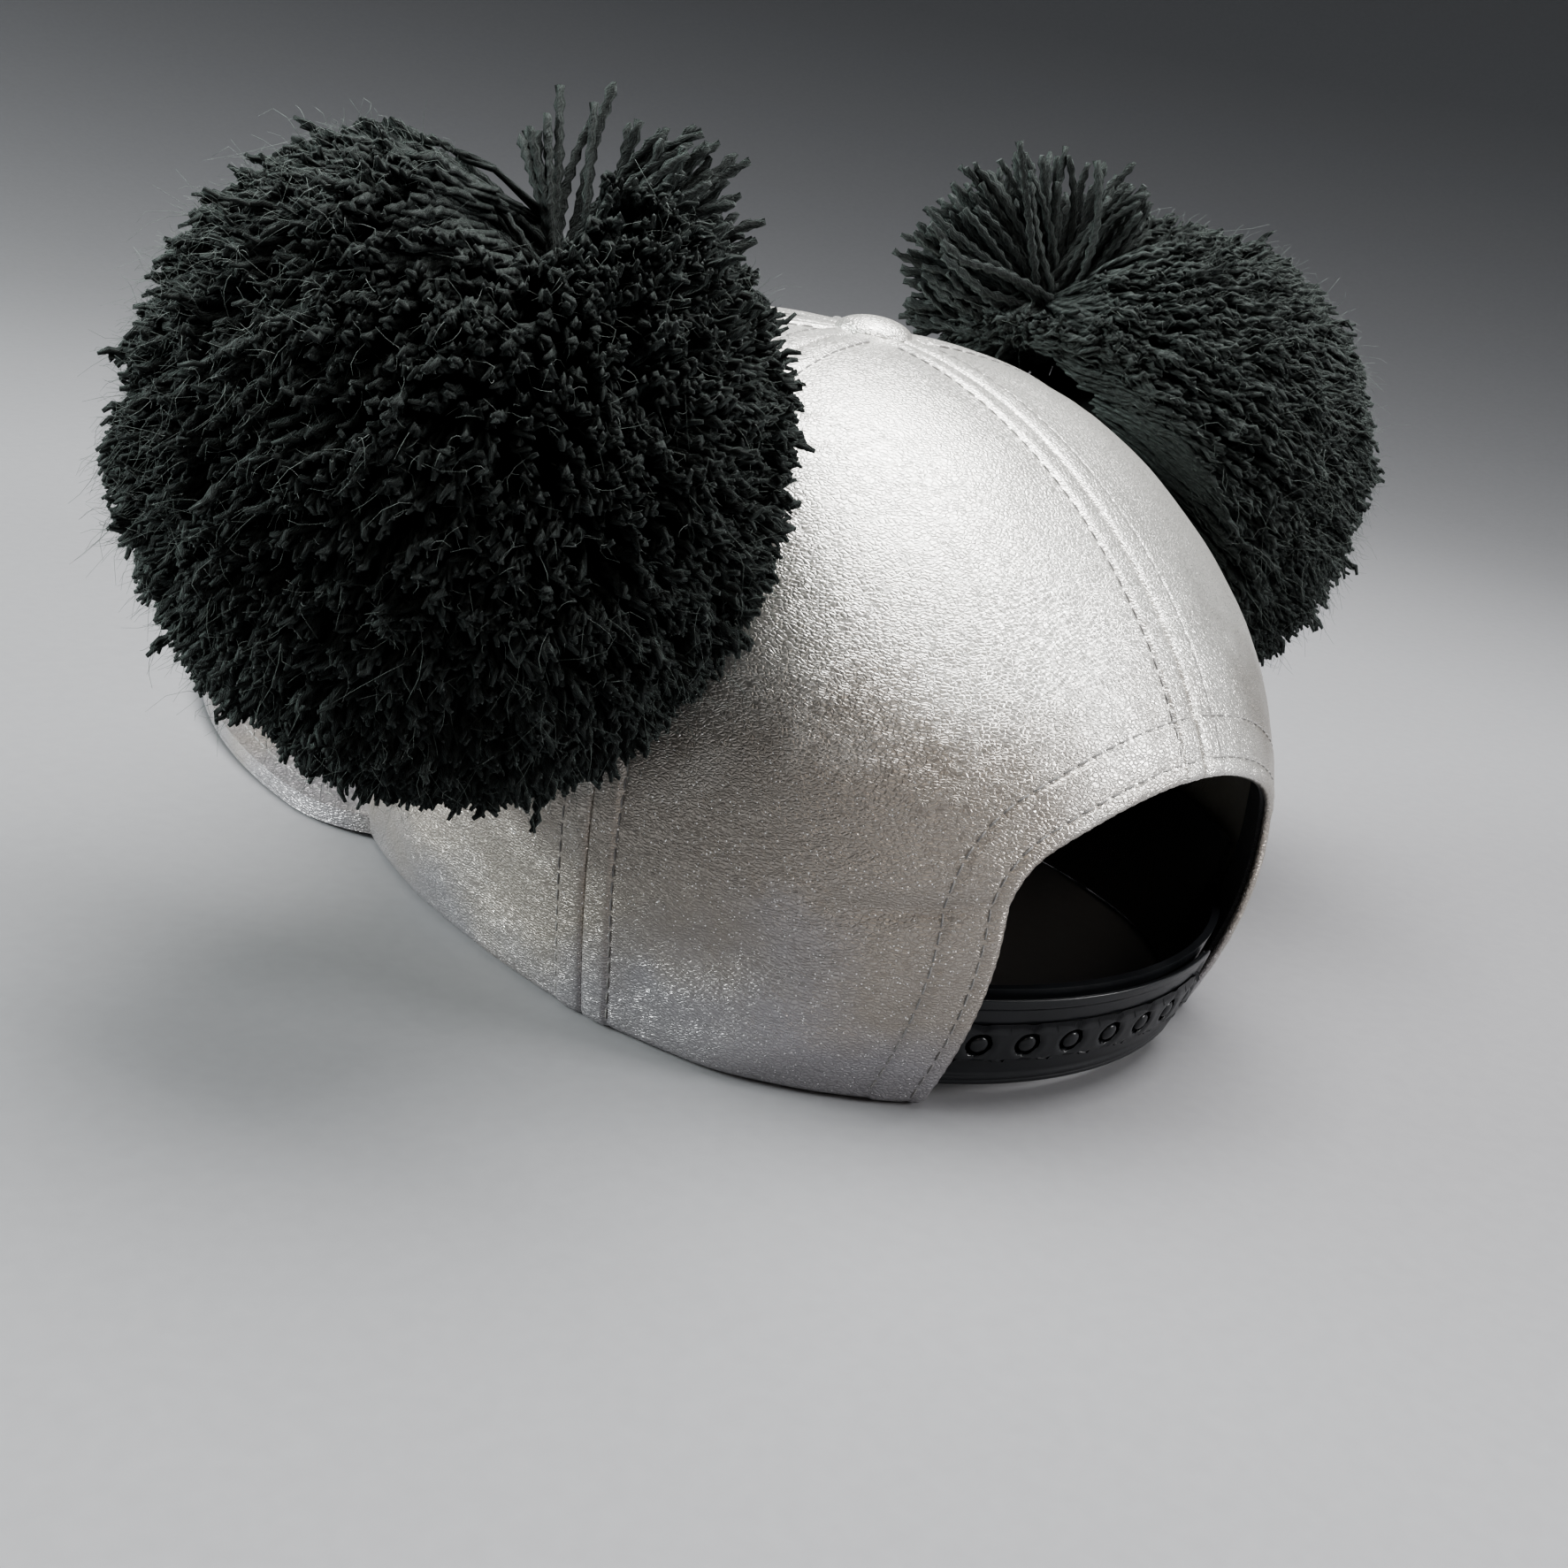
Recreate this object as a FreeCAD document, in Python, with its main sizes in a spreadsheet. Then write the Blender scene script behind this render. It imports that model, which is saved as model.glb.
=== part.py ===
# Six-panel snapback cap in imitation leather, with a pom-pom tied to each side.
# Millimetres. Z is up, the rim of the crown lies in the plane Z = 0, the visor points towards -Y,
# the back opening is at +Y and the wearer's left is +X.
# An azimuth is counted in degrees from the back (+Y) towards the wearer's left (+X).

import FreeCAD
import Part
import math
import os

from FreeCAD import Placement, Rotation, Vector

doc = FreeCAD.newDocument("pompom_cap")
sheet = doc.addObject("Spreadsheet::Sheet", "Sizes")

DRIVING_SIZES = [
    # the crown's outer surface
    ("crown_half_width", 82.8, "half width of the untapered crown"),
    ("crown_back_length", 102.3, "from the middle to the back, untapered"),
    ("crown_front_length", 119.8, "from the middle to the front"),
    ("crown_height", 116.5, "rim to apex"),
    ("front_fullness", 2.73, "exponent of the side and front profile"),
    ("back_fullness", 2.08, "exponent of the back profile"),
    ("plan_fullness", 2.03, "exponent of the plan"),
    ("apex_shift", 6.9, "how far the apex lies towards the front"),
    ("back_taper", 0.21, "share by which the rim draws in at the back"),
    ("side_taper", 0.09, "share by which the rim draws in at the sides"),
    ("taper_height", 80.7, "height over which the rim draws in"),
    ("back_seam_angle", 78.0, "azimuth of the seams between back and side panels"),
    ("front_seam_angle", 128.0, "azimuth of the seams between side and front panels"),
    # sheet materials
    ("leather_thickness", 1.2, "crown panel"),
    ("buckram_thickness", 0.8, "stiffener"),
    ("tape_thickness", 0.6, "seam tape"),
    ("tape_width", 13.0, "seam tape"),
    ("layer_gap", 0.08, "between sewn layers"),
    ("sweatband_height", 32.0, ""),
    ("sweatband_thickness", 1.5, ""),
    ("apex_hole_radius", 2.5, "where the panel tips leave room for the prong"),
    ("layer_start", 2.0, "height above the rim where tapes and stiffener start"),
    ("buckram_seam_gap", 1.0, "stiffener to the seams, as an angle"),
    ("sweatband_start", 0.5, "above the rim"),
    ("sweatband_end_gap", 4.0, "strap's tab to the sweatband's end, as an angle"),
    # back opening
    ("opening_width", 79.0, "between its upright sides"),
    ("opening_shoulder", 38.5, "height where the arch starts"),
    ("opening_rise", 21.5, "rise of the arch above the shoulders"),
    ("opening_corner", 14.0, "radius of the arch's corners"),
    ("facing_width", 12.0, ""),
    ("facing_thickness", 0.8, ""),
    ("facing_start", 0.3, "above the rim"),
    ("facing_reserve", 3.0, "how far the facing's layer passes its outline before it is trimmed"),
    ("seam_tape_gap", 1.0, "facing to the middle seam's tape"),
    # snap strap
    ("strap_width", 18.8, ""),
    ("strap_thickness", 1.5, ""),
    ("strap_radius", 72.0, "curve of the fastened strap"),
    ("strap_centre_height", 12.6, "above the rim"),
    ("strap_gap", 0.3, "between the two straps, and to the facing"),
    ("strap_end_radius", 6.0, "rounded corners of the free end"),
    ("peg_strap_rise", 1.6, "how far the inner strap stands above the outer one"),
    ("strap_tab_angle", 9.0, "sewn-in length behind the panel, as an angle"),
    ("fold_margin", 0.6, "opening's side to the line where the outer strap folds out"),
    ("strap_recess", 0.45, "depth of the channel that holds the holes"),
    ("strap_rim", 2.4, "width of the raised border"),
    ("snap_count", 7, ""),
    ("snap_pitch", 9.3, "centre to centre along the strap"),
    ("snap_offset", 5.9, "opening edge to the first hole"),
    ("snap_end_margin", 6.4, "last hole to the strap's end"),
    ("hole_radius", 2.8, ""),
    ("peg_radius", 2.1, "at its root"),
    ("peg_tip_radius", 1.7, ""),
    ("peg_height", 1.9, ""),
    # button
    ("button_radius", 7.6, ""),
    ("button_height", 3.3, ""),
    ("button_cover_thickness", 0.9, ""),
    ("button_shell_thickness", 0.6, ""),
    ("prong_radius", 1.5, ""),
    ("prong_leg_length", 9.0, ""),
    # visor
    ("visor_half_width", 72.5, ""),
    ("visor_widest", 80.0, "how far in front of the middle the visor is widest"),
    ("visor_reach", 105.0, "from there to its tip"),
    ("visor_tip_radius", 63.0, "curve of the visor's front"),
    ("visor_tuck", 50.0, "from there back, under the crown"),
    ("visor_arch", 5.0, "rise of the middle above the side edges"),
    ("visor_cover_thickness", 0.9, ""),
    ("visor_board_thickness", 2.0, ""),
    ("visor_lip", 1.5, "how far the covers pass the board"),
    # pom-poms
    ("pompom_radius", 56.0, ""),
    ("pompom_azimuth", 90.6, "where the tie goes through the panel"),
    ("pompom_level", 80.2, "height of the same point"),
    ("pompom_standoff", 24.3, "panel to the centre of the ball"),
    ("pompom_clearance", 2.2, "yarn to panel at the tie"),
    ("bob_angle", 5.0, "how far the ball can tip"),
    ("tie_loop_radius", 4.0, "centre line of the loop"),
    ("tie_cord_radius", 1.5, ""),
    ("shank_hole_clearance", 0.6, "round the shank in the panel"),
    ("knot_radius", 3.6, ""),
    ("knot_flatness", 0.8, "its height as a share of its width"),
    ("knot_clearance", 0.6, "knot to panel"),
]


AZIMUTH_STEP = 0.05     # degrees, when a size is searched for along the crown
COARSE_STEP = 0.5       # degrees, when only a safe reach is wanted
CUT_OVERRUN = 1.0       # how far a cutting shape passes the face it opens
APEX_MARGIN = 1e-6      # keeps the slope at the apex finite


def fill_sheet():
    for row, (name, value, note) in enumerate(DRIVING_SIZES, start=1):
        sheet.set(f"A{row}", name)
        sheet.set(f"B{row}", str(value))
        sheet.set(f"C{row}", note)
        sheet.setAlias(f"B{row}", name)
    doc.recompute()


def size(name):
    return float(sheet.get(name))


def bind(thing, prop, expression):
    # names of sheet cells in the expression are given with a leading dollar sign
    thing.setExpression(prop, expression.replace("$", "Sizes."))


# ---- the crown's surface -------------------------------------------------------------------

def crown_surface(azimuth, height):
    # a superellipsoid whose profile is fuller at the front and sides than at the back, whose
    # rim draws in over the lowest part, and whose apex is shifted towards the front
    angle = math.radians(azimuth)
    cosine, sine = math.cos(angle), math.sin(angle)
    backness = cosine * cosine if cosine > 0 else 0.0
    fullness = size_of["front_fullness"]
    fullness += (size_of["back_fullness"] - fullness) * backness
    share = min(max(height, 0.0) / size_of["crown_height"], 1.0)
    inward = max(1.0 - share ** fullness, 0.0) ** (1.0 / fullness)
    plan = size_of["plan_fullness"]
    stretch = (abs(cosine) ** plan + abs(sine) ** plan) ** (-1.0 / plan)
    low = min(max(1.0 - height / size_of["taper_height"], 0.0), 1.0) ** 2
    half_width = size_of["crown_half_width"] * (1.0 - size_of["side_taper"] * low)
    length = size_of["crown_front_length"]
    if cosine > 0:
        length = size_of["crown_back_length"] * (1.0 - size_of["back_taper"] * low * cosine)
    forward = -size_of["apex_shift"] * share ** 2
    return Vector(half_width * inward * sine * stretch,
                  forward + length * inward * cosine * stretch,
                  height)


def apex_point():
    return Vector(0, -size_of["apex_shift"], size_of["crown_height"])


def height_near_apex(azimuth, radius):
    # bisects for the height whose point lies at this horizontal distance from the apex
    low, high = 0.5 * size_of["crown_height"], size_of["crown_height"]
    for _ in range(60):
        middle = 0.5 * (low + high)
        gap = crown_surface(azimuth, middle) - apex_point()
        if math.hypot(gap.x, gap.y) > radius:
            low = middle
        else:
            high = middle
    return 0.5 * (low + high)


def profile_heights(azimuth, bottom, top, rows):
    # heights that lie evenly along the profile's own length at this azimuth
    fine = 240
    share = [math.sin(math.pi / 2 * i / fine) for i in range(fine + 1)]
    heights = [bottom + (top - bottom) * part for part in share]
    lengths = [0.0]
    for first, second in zip(heights, heights[1:]):
        step = crown_surface(azimuth, second) - crown_surface(azimuth, first)
        lengths.append(lengths[-1] + step.Length)
    chosen, at = [], 0
    for j in range(rows):
        wanted = lengths[-1] * j / (rows - 1)
        while at < fine - 1 and lengths[at + 1] < wanted:
            at += 1
        blend = (wanted - lengths[at]) / (lengths[at + 1] - lengths[at])
        chosen.append(heights[at] + (heights[at + 1] - heights[at]) * min(blend, 1.0))
    return chosen


def crown_normal(azimuth, height):
    step = AZIMUTH_STEP
    across = crown_surface(azimuth + step, height) - crown_surface(azimuth - step, height)
    top = min(height + step, size_of["crown_height"] - APEX_MARGIN)
    along = crown_surface(azimuth, top) - crown_surface(azimuth, max(height - step, 0.0))
    normal = along.cross(across)
    normal.normalize()
    return normal


def crown_point(azimuth, height, depth=0.0):
    # a point of the surface that lies this deep under the crown's outer face
    return crown_surface(azimuth, height) - crown_normal(azimuth, height) * depth


# ---- solids between two surfaces -----------------------------------------------------------

def surface_through(grid):
    surface = Part.BSplineSurface()
    surface.interpolate(grid)
    return surface


def solid_between(outer_grid, inner_grid):
    outer, inner = surface_through(outer_grid), surface_through(inner_grid)
    u_first, u_last, v_first, v_last = outer.bounds()
    faces = [outer.toShape(), inner.toShape()]
    for edge_of in (lambda s: s.uIso(u_first), lambda s: s.uIso(u_last),
                    lambda s: s.vIso(v_first), lambda s: s.vIso(v_last)):
        faces.append(Part.makeRuledSurface(edge_of(outer).toShape(), edge_of(inner).toShape()))
    shell = Part.Shell(faces)
    shell.sewShape()
    solid = Part.Solid(shell)
    if solid.Volume < 0:
        solid.reverse()
    return solid


def crown_layer(first, last, bottom, top_radius, depth, thickness, columns, rows=15, top=None):
    # a layer of the crown between two azimuths, from a height up to a distance from the apex,
    # or up to the height given as top
    azimuths = [first + (last - first) * i / (columns - 1) for i in range(columns)]
    heights = [profile_heights(azimuth, bottom, top or height_near_apex(azimuth, top_radius), rows)
               for azimuth in azimuths]

    def grid(at_depth):
        return [[crown_point(azimuth, height, at_depth) for height in column]
                for azimuth, column in zip(azimuths, heights)]
    return solid_between(grid(depth), grid(depth + thickness))


def seam_strip(azimuth, bottom, top_radius, depth, thickness, width, rows=15):
    # a strip of even width that follows the crown along one azimuth
    columns = 5
    heights = profile_heights(azimuth, bottom, height_near_apex(azimuth, top_radius), rows)

    def turn(across, height):
        gap = crown_surface(azimuth, height) - apex_point() * (height / size_of["crown_height"])
        return math.degrees(across / math.hypot(gap.x, gap.y))

    def grid(at_depth):
        offsets = [width * (i / (columns - 1) - 0.5) for i in range(columns)]
        return [[crown_point(azimuth + turn(across, height), height, at_depth) for height in heights]
                for across in offsets]
    return solid_between(grid(depth), grid(depth + thickness))


def feature(name, shape):
    thing = doc.addObject("Part::Feature", name)
    thing.Shape = shape
    thing.Label = name
    return thing


def primitive(kind, name, placement=None, **bound):
    thing = doc.addObject("Part::" + kind, name)
    for prop, expression in bound.items():
        bind(thing, prop, expression)
    thing.Placement = placement or Placement()
    return thing


def cut(name, base, tool):
    thing = doc.addObject("Part::Cut", name)
    thing.Base, thing.Tool = base, tool
    return thing


def fuse(name, things):
    thing = doc.addObject("Part::MultiFuse", name)
    thing.Shapes = things
    return thing


def common(name, first, second):
    thing = doc.addObject("Part::MultiCommon", name)
    thing.Shapes = [first, second]
    return thing


# ---- sketches --------------------------------------------------------------------------------

def body_with_sketch(name, plane):
    body = doc.addObject("PartDesign::Body", name)
    sketch = body.newObject("Sketcher::SketchObject", name + "_outline")
    role = {"XY": "XY_Plane", "XZ": "XZ_Plane"}[plane]
    origin = next(f for f in body.Origin.OriginFeatures if f.Role == role)
    sketch.AttachmentSupport = [(origin, "")]
    sketch.MapMode = "FlatFace"
    return body, sketch


def constrain(sketch, kind, arguments, name=None, expression=None):
    import Sketcher
    index = sketch.addConstraint(Sketcher.Constraint(kind, *arguments))
    if name:
        sketch.renameConstraint(index, name)
        bind(sketch, "Constraints." + name, expression)
    return index


def pad(body, sketch, name, length):
    result = body.newObject("PartDesign::Pad", name)
    result.Profile = sketch
    bind(result, "Length", length)
    return result


# ---- crown -----------------------------------------------------------------------------------

def arch_form(name, margin):
    # upright prism behind the middle of the cap, in the outline of the back opening plus a margin
    body, sketch = body_with_sketch(name, "XZ")
    half = size_of["opening_width"] / 2 + margin
    shoulder = size_of["opening_shoulder"]
    rise = size_of["opening_rise"] + margin
    corner = size_of["opening_corner"] + margin
    top_radius = ((half - corner) ** 2 + rise ** 2 - corner ** 2) / (2 * (rise - corner))
    side_centre = Vector(half - corner, shoulder, 0)
    top_centre = Vector(0, shoulder + rise - top_radius, 0)
    meet = top_centre + (side_centre - top_centre) * (top_radius / (top_radius - corner))
    meet_angle = math.atan2(meet.y - top_centre.y, meet.x)
    up = Vector(0, 0, 1)
    foot = -size_of["opening_shoulder"] / 4

    def arc(centre, radius, first, last):
        return Part.ArcOfCircle(Part.Circle(centre, up, radius), first, last)

    mirrored = Vector(-side_centre.x, side_centre.y, 0)
    sketch.addGeometry([
        Part.LineSegment(Vector(half, foot, 0), Vector(half, shoulder, 0)),
        arc(side_centre, corner, 0.0, meet_angle),
        arc(top_centre, top_radius, meet_angle, math.pi - meet_angle),
        arc(mirrored, corner, math.pi - meet_angle, math.pi),
        Part.LineSegment(Vector(-half, shoulder, 0), Vector(-half, foot, 0)),
        Part.LineSegment(Vector(-half, foot, 0), Vector(half, foot, 0)),
    ], False)
    start, end = 1, 2
    for first, second in (((0, end), (1, start)), ((1, end), (2, start)), ((2, end), (3, start)),
                          ((3, end), (4, start)), ((4, end), (5, start)), ((5, end), (0, start))):
        constrain(sketch, "Coincident", (*first, *second))
    constrain(sketch, "Vertical", (0,))
    constrain(sketch, "Vertical", (4,))
    constrain(sketch, "Equal", (1, 3))
    constrain(sketch, "Symmetric", (0, start, 4, end, -2))
    constrain(sketch, "DistanceY", (-1, 1, 0, end, shoulder), "shoulder", "$opening_shoulder")
    constrain(sketch, "DistanceX", (4, end, 0, start, 2 * half), "width",
              f"$opening_width + {2 * margin}")
    constrain(sketch, "Radius", (1, corner), "corner", f"$opening_corner + {margin}")
    form = pad(body, sketch, name + "_pad", "$crown_back_length * 1.5")
    form.Reversed = True
    return body


def crown_panels(opening, shanks):
    # each panel is a layer of the crown between two seams
    back, front = size_of["back_seam_angle"], size_of["front_seam_angle"]
    thickness = size_of["leather_thickness"]
    spans = {"back_left_panel": (0, back, 15), "left_side_panel": (back, front, 11),
             "front_left_panel": (front, 180, 11), "front_right_panel": (-180, -front, 11),
             "right_side_panel": (-front, -back, 11), "back_right_panel": (-back, 0, 15)}
    panels = []
    for name, (first, last, columns) in spans.items():
        layer = crown_layer(first, last, 0.0, size_of["apex_hole_radius"], 0.0, thickness, columns)
        tool = None
        if name.startswith("back"):
            tool = opening
        if "side" in name:
            tool = shanks["left" if "left" in name else "right"]
        if tool is None:
            panels.append(feature(name, layer))
        else:
            panels.append(cut(name, feature(name + "_blank", layer), tool))
    return panels


def inner_layers(facing_form, opening):
    leather, buckram = size_of["leather_thickness"], size_of["buckram_thickness"]
    tape, gap = size_of["tape_thickness"], size_of["layer_gap"]
    back, front = size_of["back_seam_angle"], size_of["front_seam_angle"]
    clear_of_prong = size_of["prong_leg_length"] + 3 * size_of["prong_radius"]
    nodes = []
    edge, start = size_of["buckram_seam_gap"], size_of["layer_start"]
    for name, first, last in (("front_left_buckram", front + edge, 180 - edge / 4),
                              ("front_right_buckram", -180 + edge / 4, -front - edge)):
        layer = crown_layer(first, last, start, clear_of_prong, leather + gap, buckram, 9)
        nodes.append(feature(name, layer))
    under_leather, under_buckram = leather + gap, leather + buckram + 2 * gap
    arch_top = size_of["opening_shoulder"] + size_of["opening_rise"] + size_of["facing_width"]
    for name, azimuth, depth, bottom in (
            ("back_seam_tape", 0.0, under_leather, arch_top + size_of["seam_tape_gap"]),
            ("back_left_seam_tape", back, under_leather, start),
            ("back_right_seam_tape", -back, under_leather, start),
            ("front_left_seam_tape", front, under_buckram, start),
            ("front_right_seam_tape", -front, under_buckram, start),
            ("front_seam_tape", 180.0, under_buckram, start)):
        strip = seam_strip(azimuth, bottom, clear_of_prong, depth, tape, size_of["tape_width"])
        nodes.append(feature(name, strip))
    band_depth = under_buckram + tape + gap
    band_end = strap["root_azimuth"] + size_of["sweatband_end_gap"]
    band = crown_layer(band_end, 360.0 - band_end, size_of["sweatband_start"], 0.0, band_depth,
                       size_of["sweatband_thickness"], 45, rows=5, top=size_of["sweatband_height"])
    nodes.append(feature("sweatband", band))
    reach = facing_reach()
    layer = feature("facing_layer", crown_layer(-reach, reach, size_of["facing_start"], 0.0,
                                                under_leather, size_of["facing_thickness"], 21,
                                                rows=11, top=arch_top + size_of["facing_reserve"]))
    outline = cut("facing_outline", facing_form, opening)
    nodes.append(common("opening_facing", layer, outline))
    return nodes


def facing_reach():
    # the azimuth that lies just past the facing at the rim
    half = size_of["opening_width"] / 2 + size_of["facing_width"] + size_of["facing_reserve"]
    azimuth = 0.0
    while crown_surface(azimuth, 0.0).x < half and azimuth < size_of["back_seam_angle"]:
        azimuth += COARSE_STEP
    return azimuth


# ---- snap strap ------------------------------------------------------------------------------

def strap_shape():
    # the strap lies on a cone about an upright axis, through the crown's inner face at both
    # sides of the opening; its angles are counted from the back like azimuths
    depth = (size_of["leather_thickness"] + size_of["facing_thickness"] + size_of["strap_gap"]
             + 2 * size_of["layer_gap"])
    half = size_of["opening_width"] / 2

    def edge(height):
        azimuth = 0.0
        while crown_point(azimuth, height, depth).x < half:
            azimuth += AZIMUTH_STEP
        return azimuth, crown_point(azimuth, height, depth)

    middle = size_of["strap_centre_height"]
    low, high = middle - size_of["strap_width"] / 2, middle + size_of["strap_width"] / 2
    azimuth, point = edge(middle)
    radius = size_of["strap_radius"]
    centre = point.y - math.sqrt(radius ** 2 - point.x ** 2)
    low_point, high_point = edge(low)[1], edge(high)[1]
    low_radius = math.hypot(low_point.x, low_point.y - centre)
    high_radius = math.hypot(high_point.x, high_point.y - centre)
    edge_angle = math.degrees(math.asin(point.x / radius))
    to_angle = 180.0 / math.pi / radius
    fold = math.degrees(math.asin((half - size_of["fold_margin"]) / high_radius))
    first = edge_angle - size_of["snap_offset"] * to_angle
    last = first - (size_of["snap_count"] - 1) * size_of["snap_pitch"] * to_angle
    root = edge_angle + size_of["strap_tab_angle"]
    root_x = radius * math.sin(math.radians(root))
    root_azimuth = azimuth
    while crown_surface(root_azimuth, middle).x < root_x:
        root_azimuth += COARSE_STEP
    return {"centre": centre, "low": low, "high": high, "low_radius": low_radius,
            "slope": (high_radius - low_radius) / (high - low), "fold": fold,
            "first": first, "last": last, "root": root, "root_azimuth": root_azimuth,
            "end": last - size_of["snap_end_margin"] * to_angle, "to_angle": to_angle}


def strap_radius_at(height, inset):
    return strap["low_radius"] + strap["slope"] * (height - strap["low"]) - inset


def strap_sector(name, first, last, low, high, inset, thickness):
    # a piece of the strap's cone between two angles and two heights
    def cone(suffix, depth, angle):
        thing = doc.addObject("Part::Cone", name + suffix)
        thing.Radius1 = strap_radius_at(low, depth)
        thing.Radius2 = strap_radius_at(high, depth)
        thing.Height = high - low
        thing.Angle = angle
        turn = Rotation(Vector(0, 0, 1), 90.0 - last)
        thing.Placement = Placement(Vector(0, strap["centre"], low), turn)
        return thing
    outer = cone("_outer", inset, last - first)
    inner = cone("_inner", inset + thickness, 360.0)
    return cut(name, outer, inner)


def strap_placement(angle, height, inset):
    # on the strap's cone at this angle and height, this deep under its outer face, with the
    # local Z square out of the face, Y up along it and X along the strap to its free end
    turn, lean = math.radians(angle), math.atan(strap["slope"])
    radial, up = Vector(math.sin(turn), math.cos(turn), 0), Vector(0, 0, 1)
    outwards = radial * math.cos(lean) - up * math.sin(lean)
    along_face = up * math.cos(lean) + radial * math.sin(lean)
    face = Vector(0, strap["centre"], height) + radial * strap_radius_at(height, 0.0)
    frame = Rotation(along_face.cross(outwards), along_face, outwards, "ZYX")
    return Placement(face - outwards * inset, frame)


def end_corner(name, height, upwards):
    # what rounding takes off one corner of the strap's free end
    radius, thickness = size_of["strap_end_radius"], size_of["strap_thickness"]
    foot = strap_placement(strap["end"], height, 4 * thickness)
    shift = Vector(-radius, -radius if upwards else -thickness, 0)
    block = primitive("Box", name + "_block", foot * Placement(shift, Rotation()),
                      Length="$strap_end_radius + $strap_thickness",
                      Width="$strap_end_radius + $strap_thickness", Height="$strap_thickness * 8")
    middle = Vector(-radius, -radius if upwards else radius, -thickness)
    round_part = primitive("Cylinder", name + "_round", foot * Placement(middle, Rotation()),
                           Radius="$strap_end_radius", Height="$strap_thickness * 10")
    return cut(name, block, round_part)


def snap_strap():
    low, high, fold = strap["low"], strap["high"], strap["fold"]
    thickness, rim = size_of["strap_thickness"], size_of["strap_rim"]
    angles = [strap["first"] - i * size_of["snap_pitch"] * strap["to_angle"]
              for i in range(int(size_of["snap_count"]))]
    middle = size_of["strap_centre_height"]
    split = size_of["strap_gap"] * strap["to_angle"]

    blank = strap_sector("hole_strap_blank", strap["end"], fold - split, low, high, 0.0, thickness)
    corners = [end_corner("strap_low_corner", low, False), end_corner("strap_high_corner", high, True)]
    channel = strap_sector("hole_strap_channel", strap["end"] + rim * strap["to_angle"], strap["root"],
                           low + rim, high - rim, -CUT_OVERRUN, CUT_OVERRUN + size_of["strap_recess"])
    holes = []
    for number, angle in enumerate(angles, start=1):
        hole = primitive("Cylinder", f"strap_hole_{number}", strap_placement(angle, middle, 2 * thickness),
                         Radius="$hole_radius", Height="$strap_thickness * 4")
        holes.append(hole)
    hole_strap = cut("hole_strap", blank, fuse("hole_strap_cuts", [channel] + corners + holes))

    tab_blank = strap_sector("hole_strap_tab_blank", fold, strap["root"], low, high, 0.0, thickness)
    tab_channel = strap_sector("hole_strap_tab_channel", fold - CUT_OVERRUN, strap["root"] + CUT_OVERRUN,
                               low + rim, high - rim, -CUT_OVERRUN, CUT_OVERRUN + size_of["strap_recess"])
    tab = cut("hole_strap_tab", tab_blank, tab_channel)

    inset = thickness + size_of["strap_gap"]
    rise = size_of["peg_strap_rise"]
    free_end = strap["first"] + size_of["snap_end_margin"] * strap["to_angle"]
    band = strap_sector("peg_strap_band", -strap["root"], free_end, low + rise, high + rise, inset, thickness)
    pieces = [band]
    for number, angle in enumerate(angles, start=1):
        foot = inset + thickness / 2
        peg = primitive("Cone", f"peg_{number}", strap_placement(angle, middle, foot),
                        Radius1="$peg_radius", Radius2="$peg_tip_radius",
                        Height="$peg_height + $strap_thickness / 2")
        top = strap_placement(angle, middle, inset - size_of["peg_height"])
        dome = primitive("Ellipsoid", f"peg_dome_{number}", top,
                         Radius1="$peg_tip_radius * 0.4", Radius2="$peg_tip_radius",
                         Radius3="$peg_tip_radius")
        pieces += [peg, dome]
    return [hole_strap, tab, fuse("peg_strap", pieces)]


# ---- button ----------------------------------------------------------------------------------

def dome(name, foot, radius, height):
    # the upper half of an ellipsoid that stands on its flat base
    return primitive("Ellipsoid", name, Placement(foot, Rotation()), Angle1="0 deg", Angle2="90 deg",
                     Radius1=height, Radius2=radius, Radius3=radius)


def button():
    foot = apex_point()
    radius, height = "$button_radius", "$button_height"
    inside = " - $button_cover_thickness - $layer_gap"
    hollow = inside + " - $button_shell_thickness"
    cover = cut("button_cover", dome("button_cover_outer", foot, radius, height),
                dome("button_cover_inner", foot, radius + " - $button_cover_thickness",
                     height + " - $button_cover_thickness"))
    shell = cut("button_shell", dome("button_shell_outer", foot, radius + inside, height + inside),
                dome("button_shell_inner", foot, radius + hollow, height + hollow))
    under = size_of["leather_thickness"] + 4 * size_of["layer_gap"]
    thick = size_of["tape_thickness"]
    prong_foot = foot - Vector(0, 0, under + thick)
    post = primitive("Cylinder", "prong_post", Placement(prong_foot, Rotation()), Radius="$prong_radius",
                     Height="$leather_thickness + $tape_thickness + 4 * $layer_gap + $button_height"
                            " - $button_cover_thickness - $button_shell_thickness - $layer_gap * 2")
    corner = prong_foot - Vector(size_of["prong_leg_length"], size_of["prong_radius"], 0)
    legs = primitive("Box", "prong_legs", Placement(corner, Rotation()), Length="$prong_leg_length * 2",
                     Width="$prong_radius * 2", Height="$tape_thickness")
    return [cover, shell, fuse("button_prong", [post, legs])]


# ---- visor -----------------------------------------------------------------------------------

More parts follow.
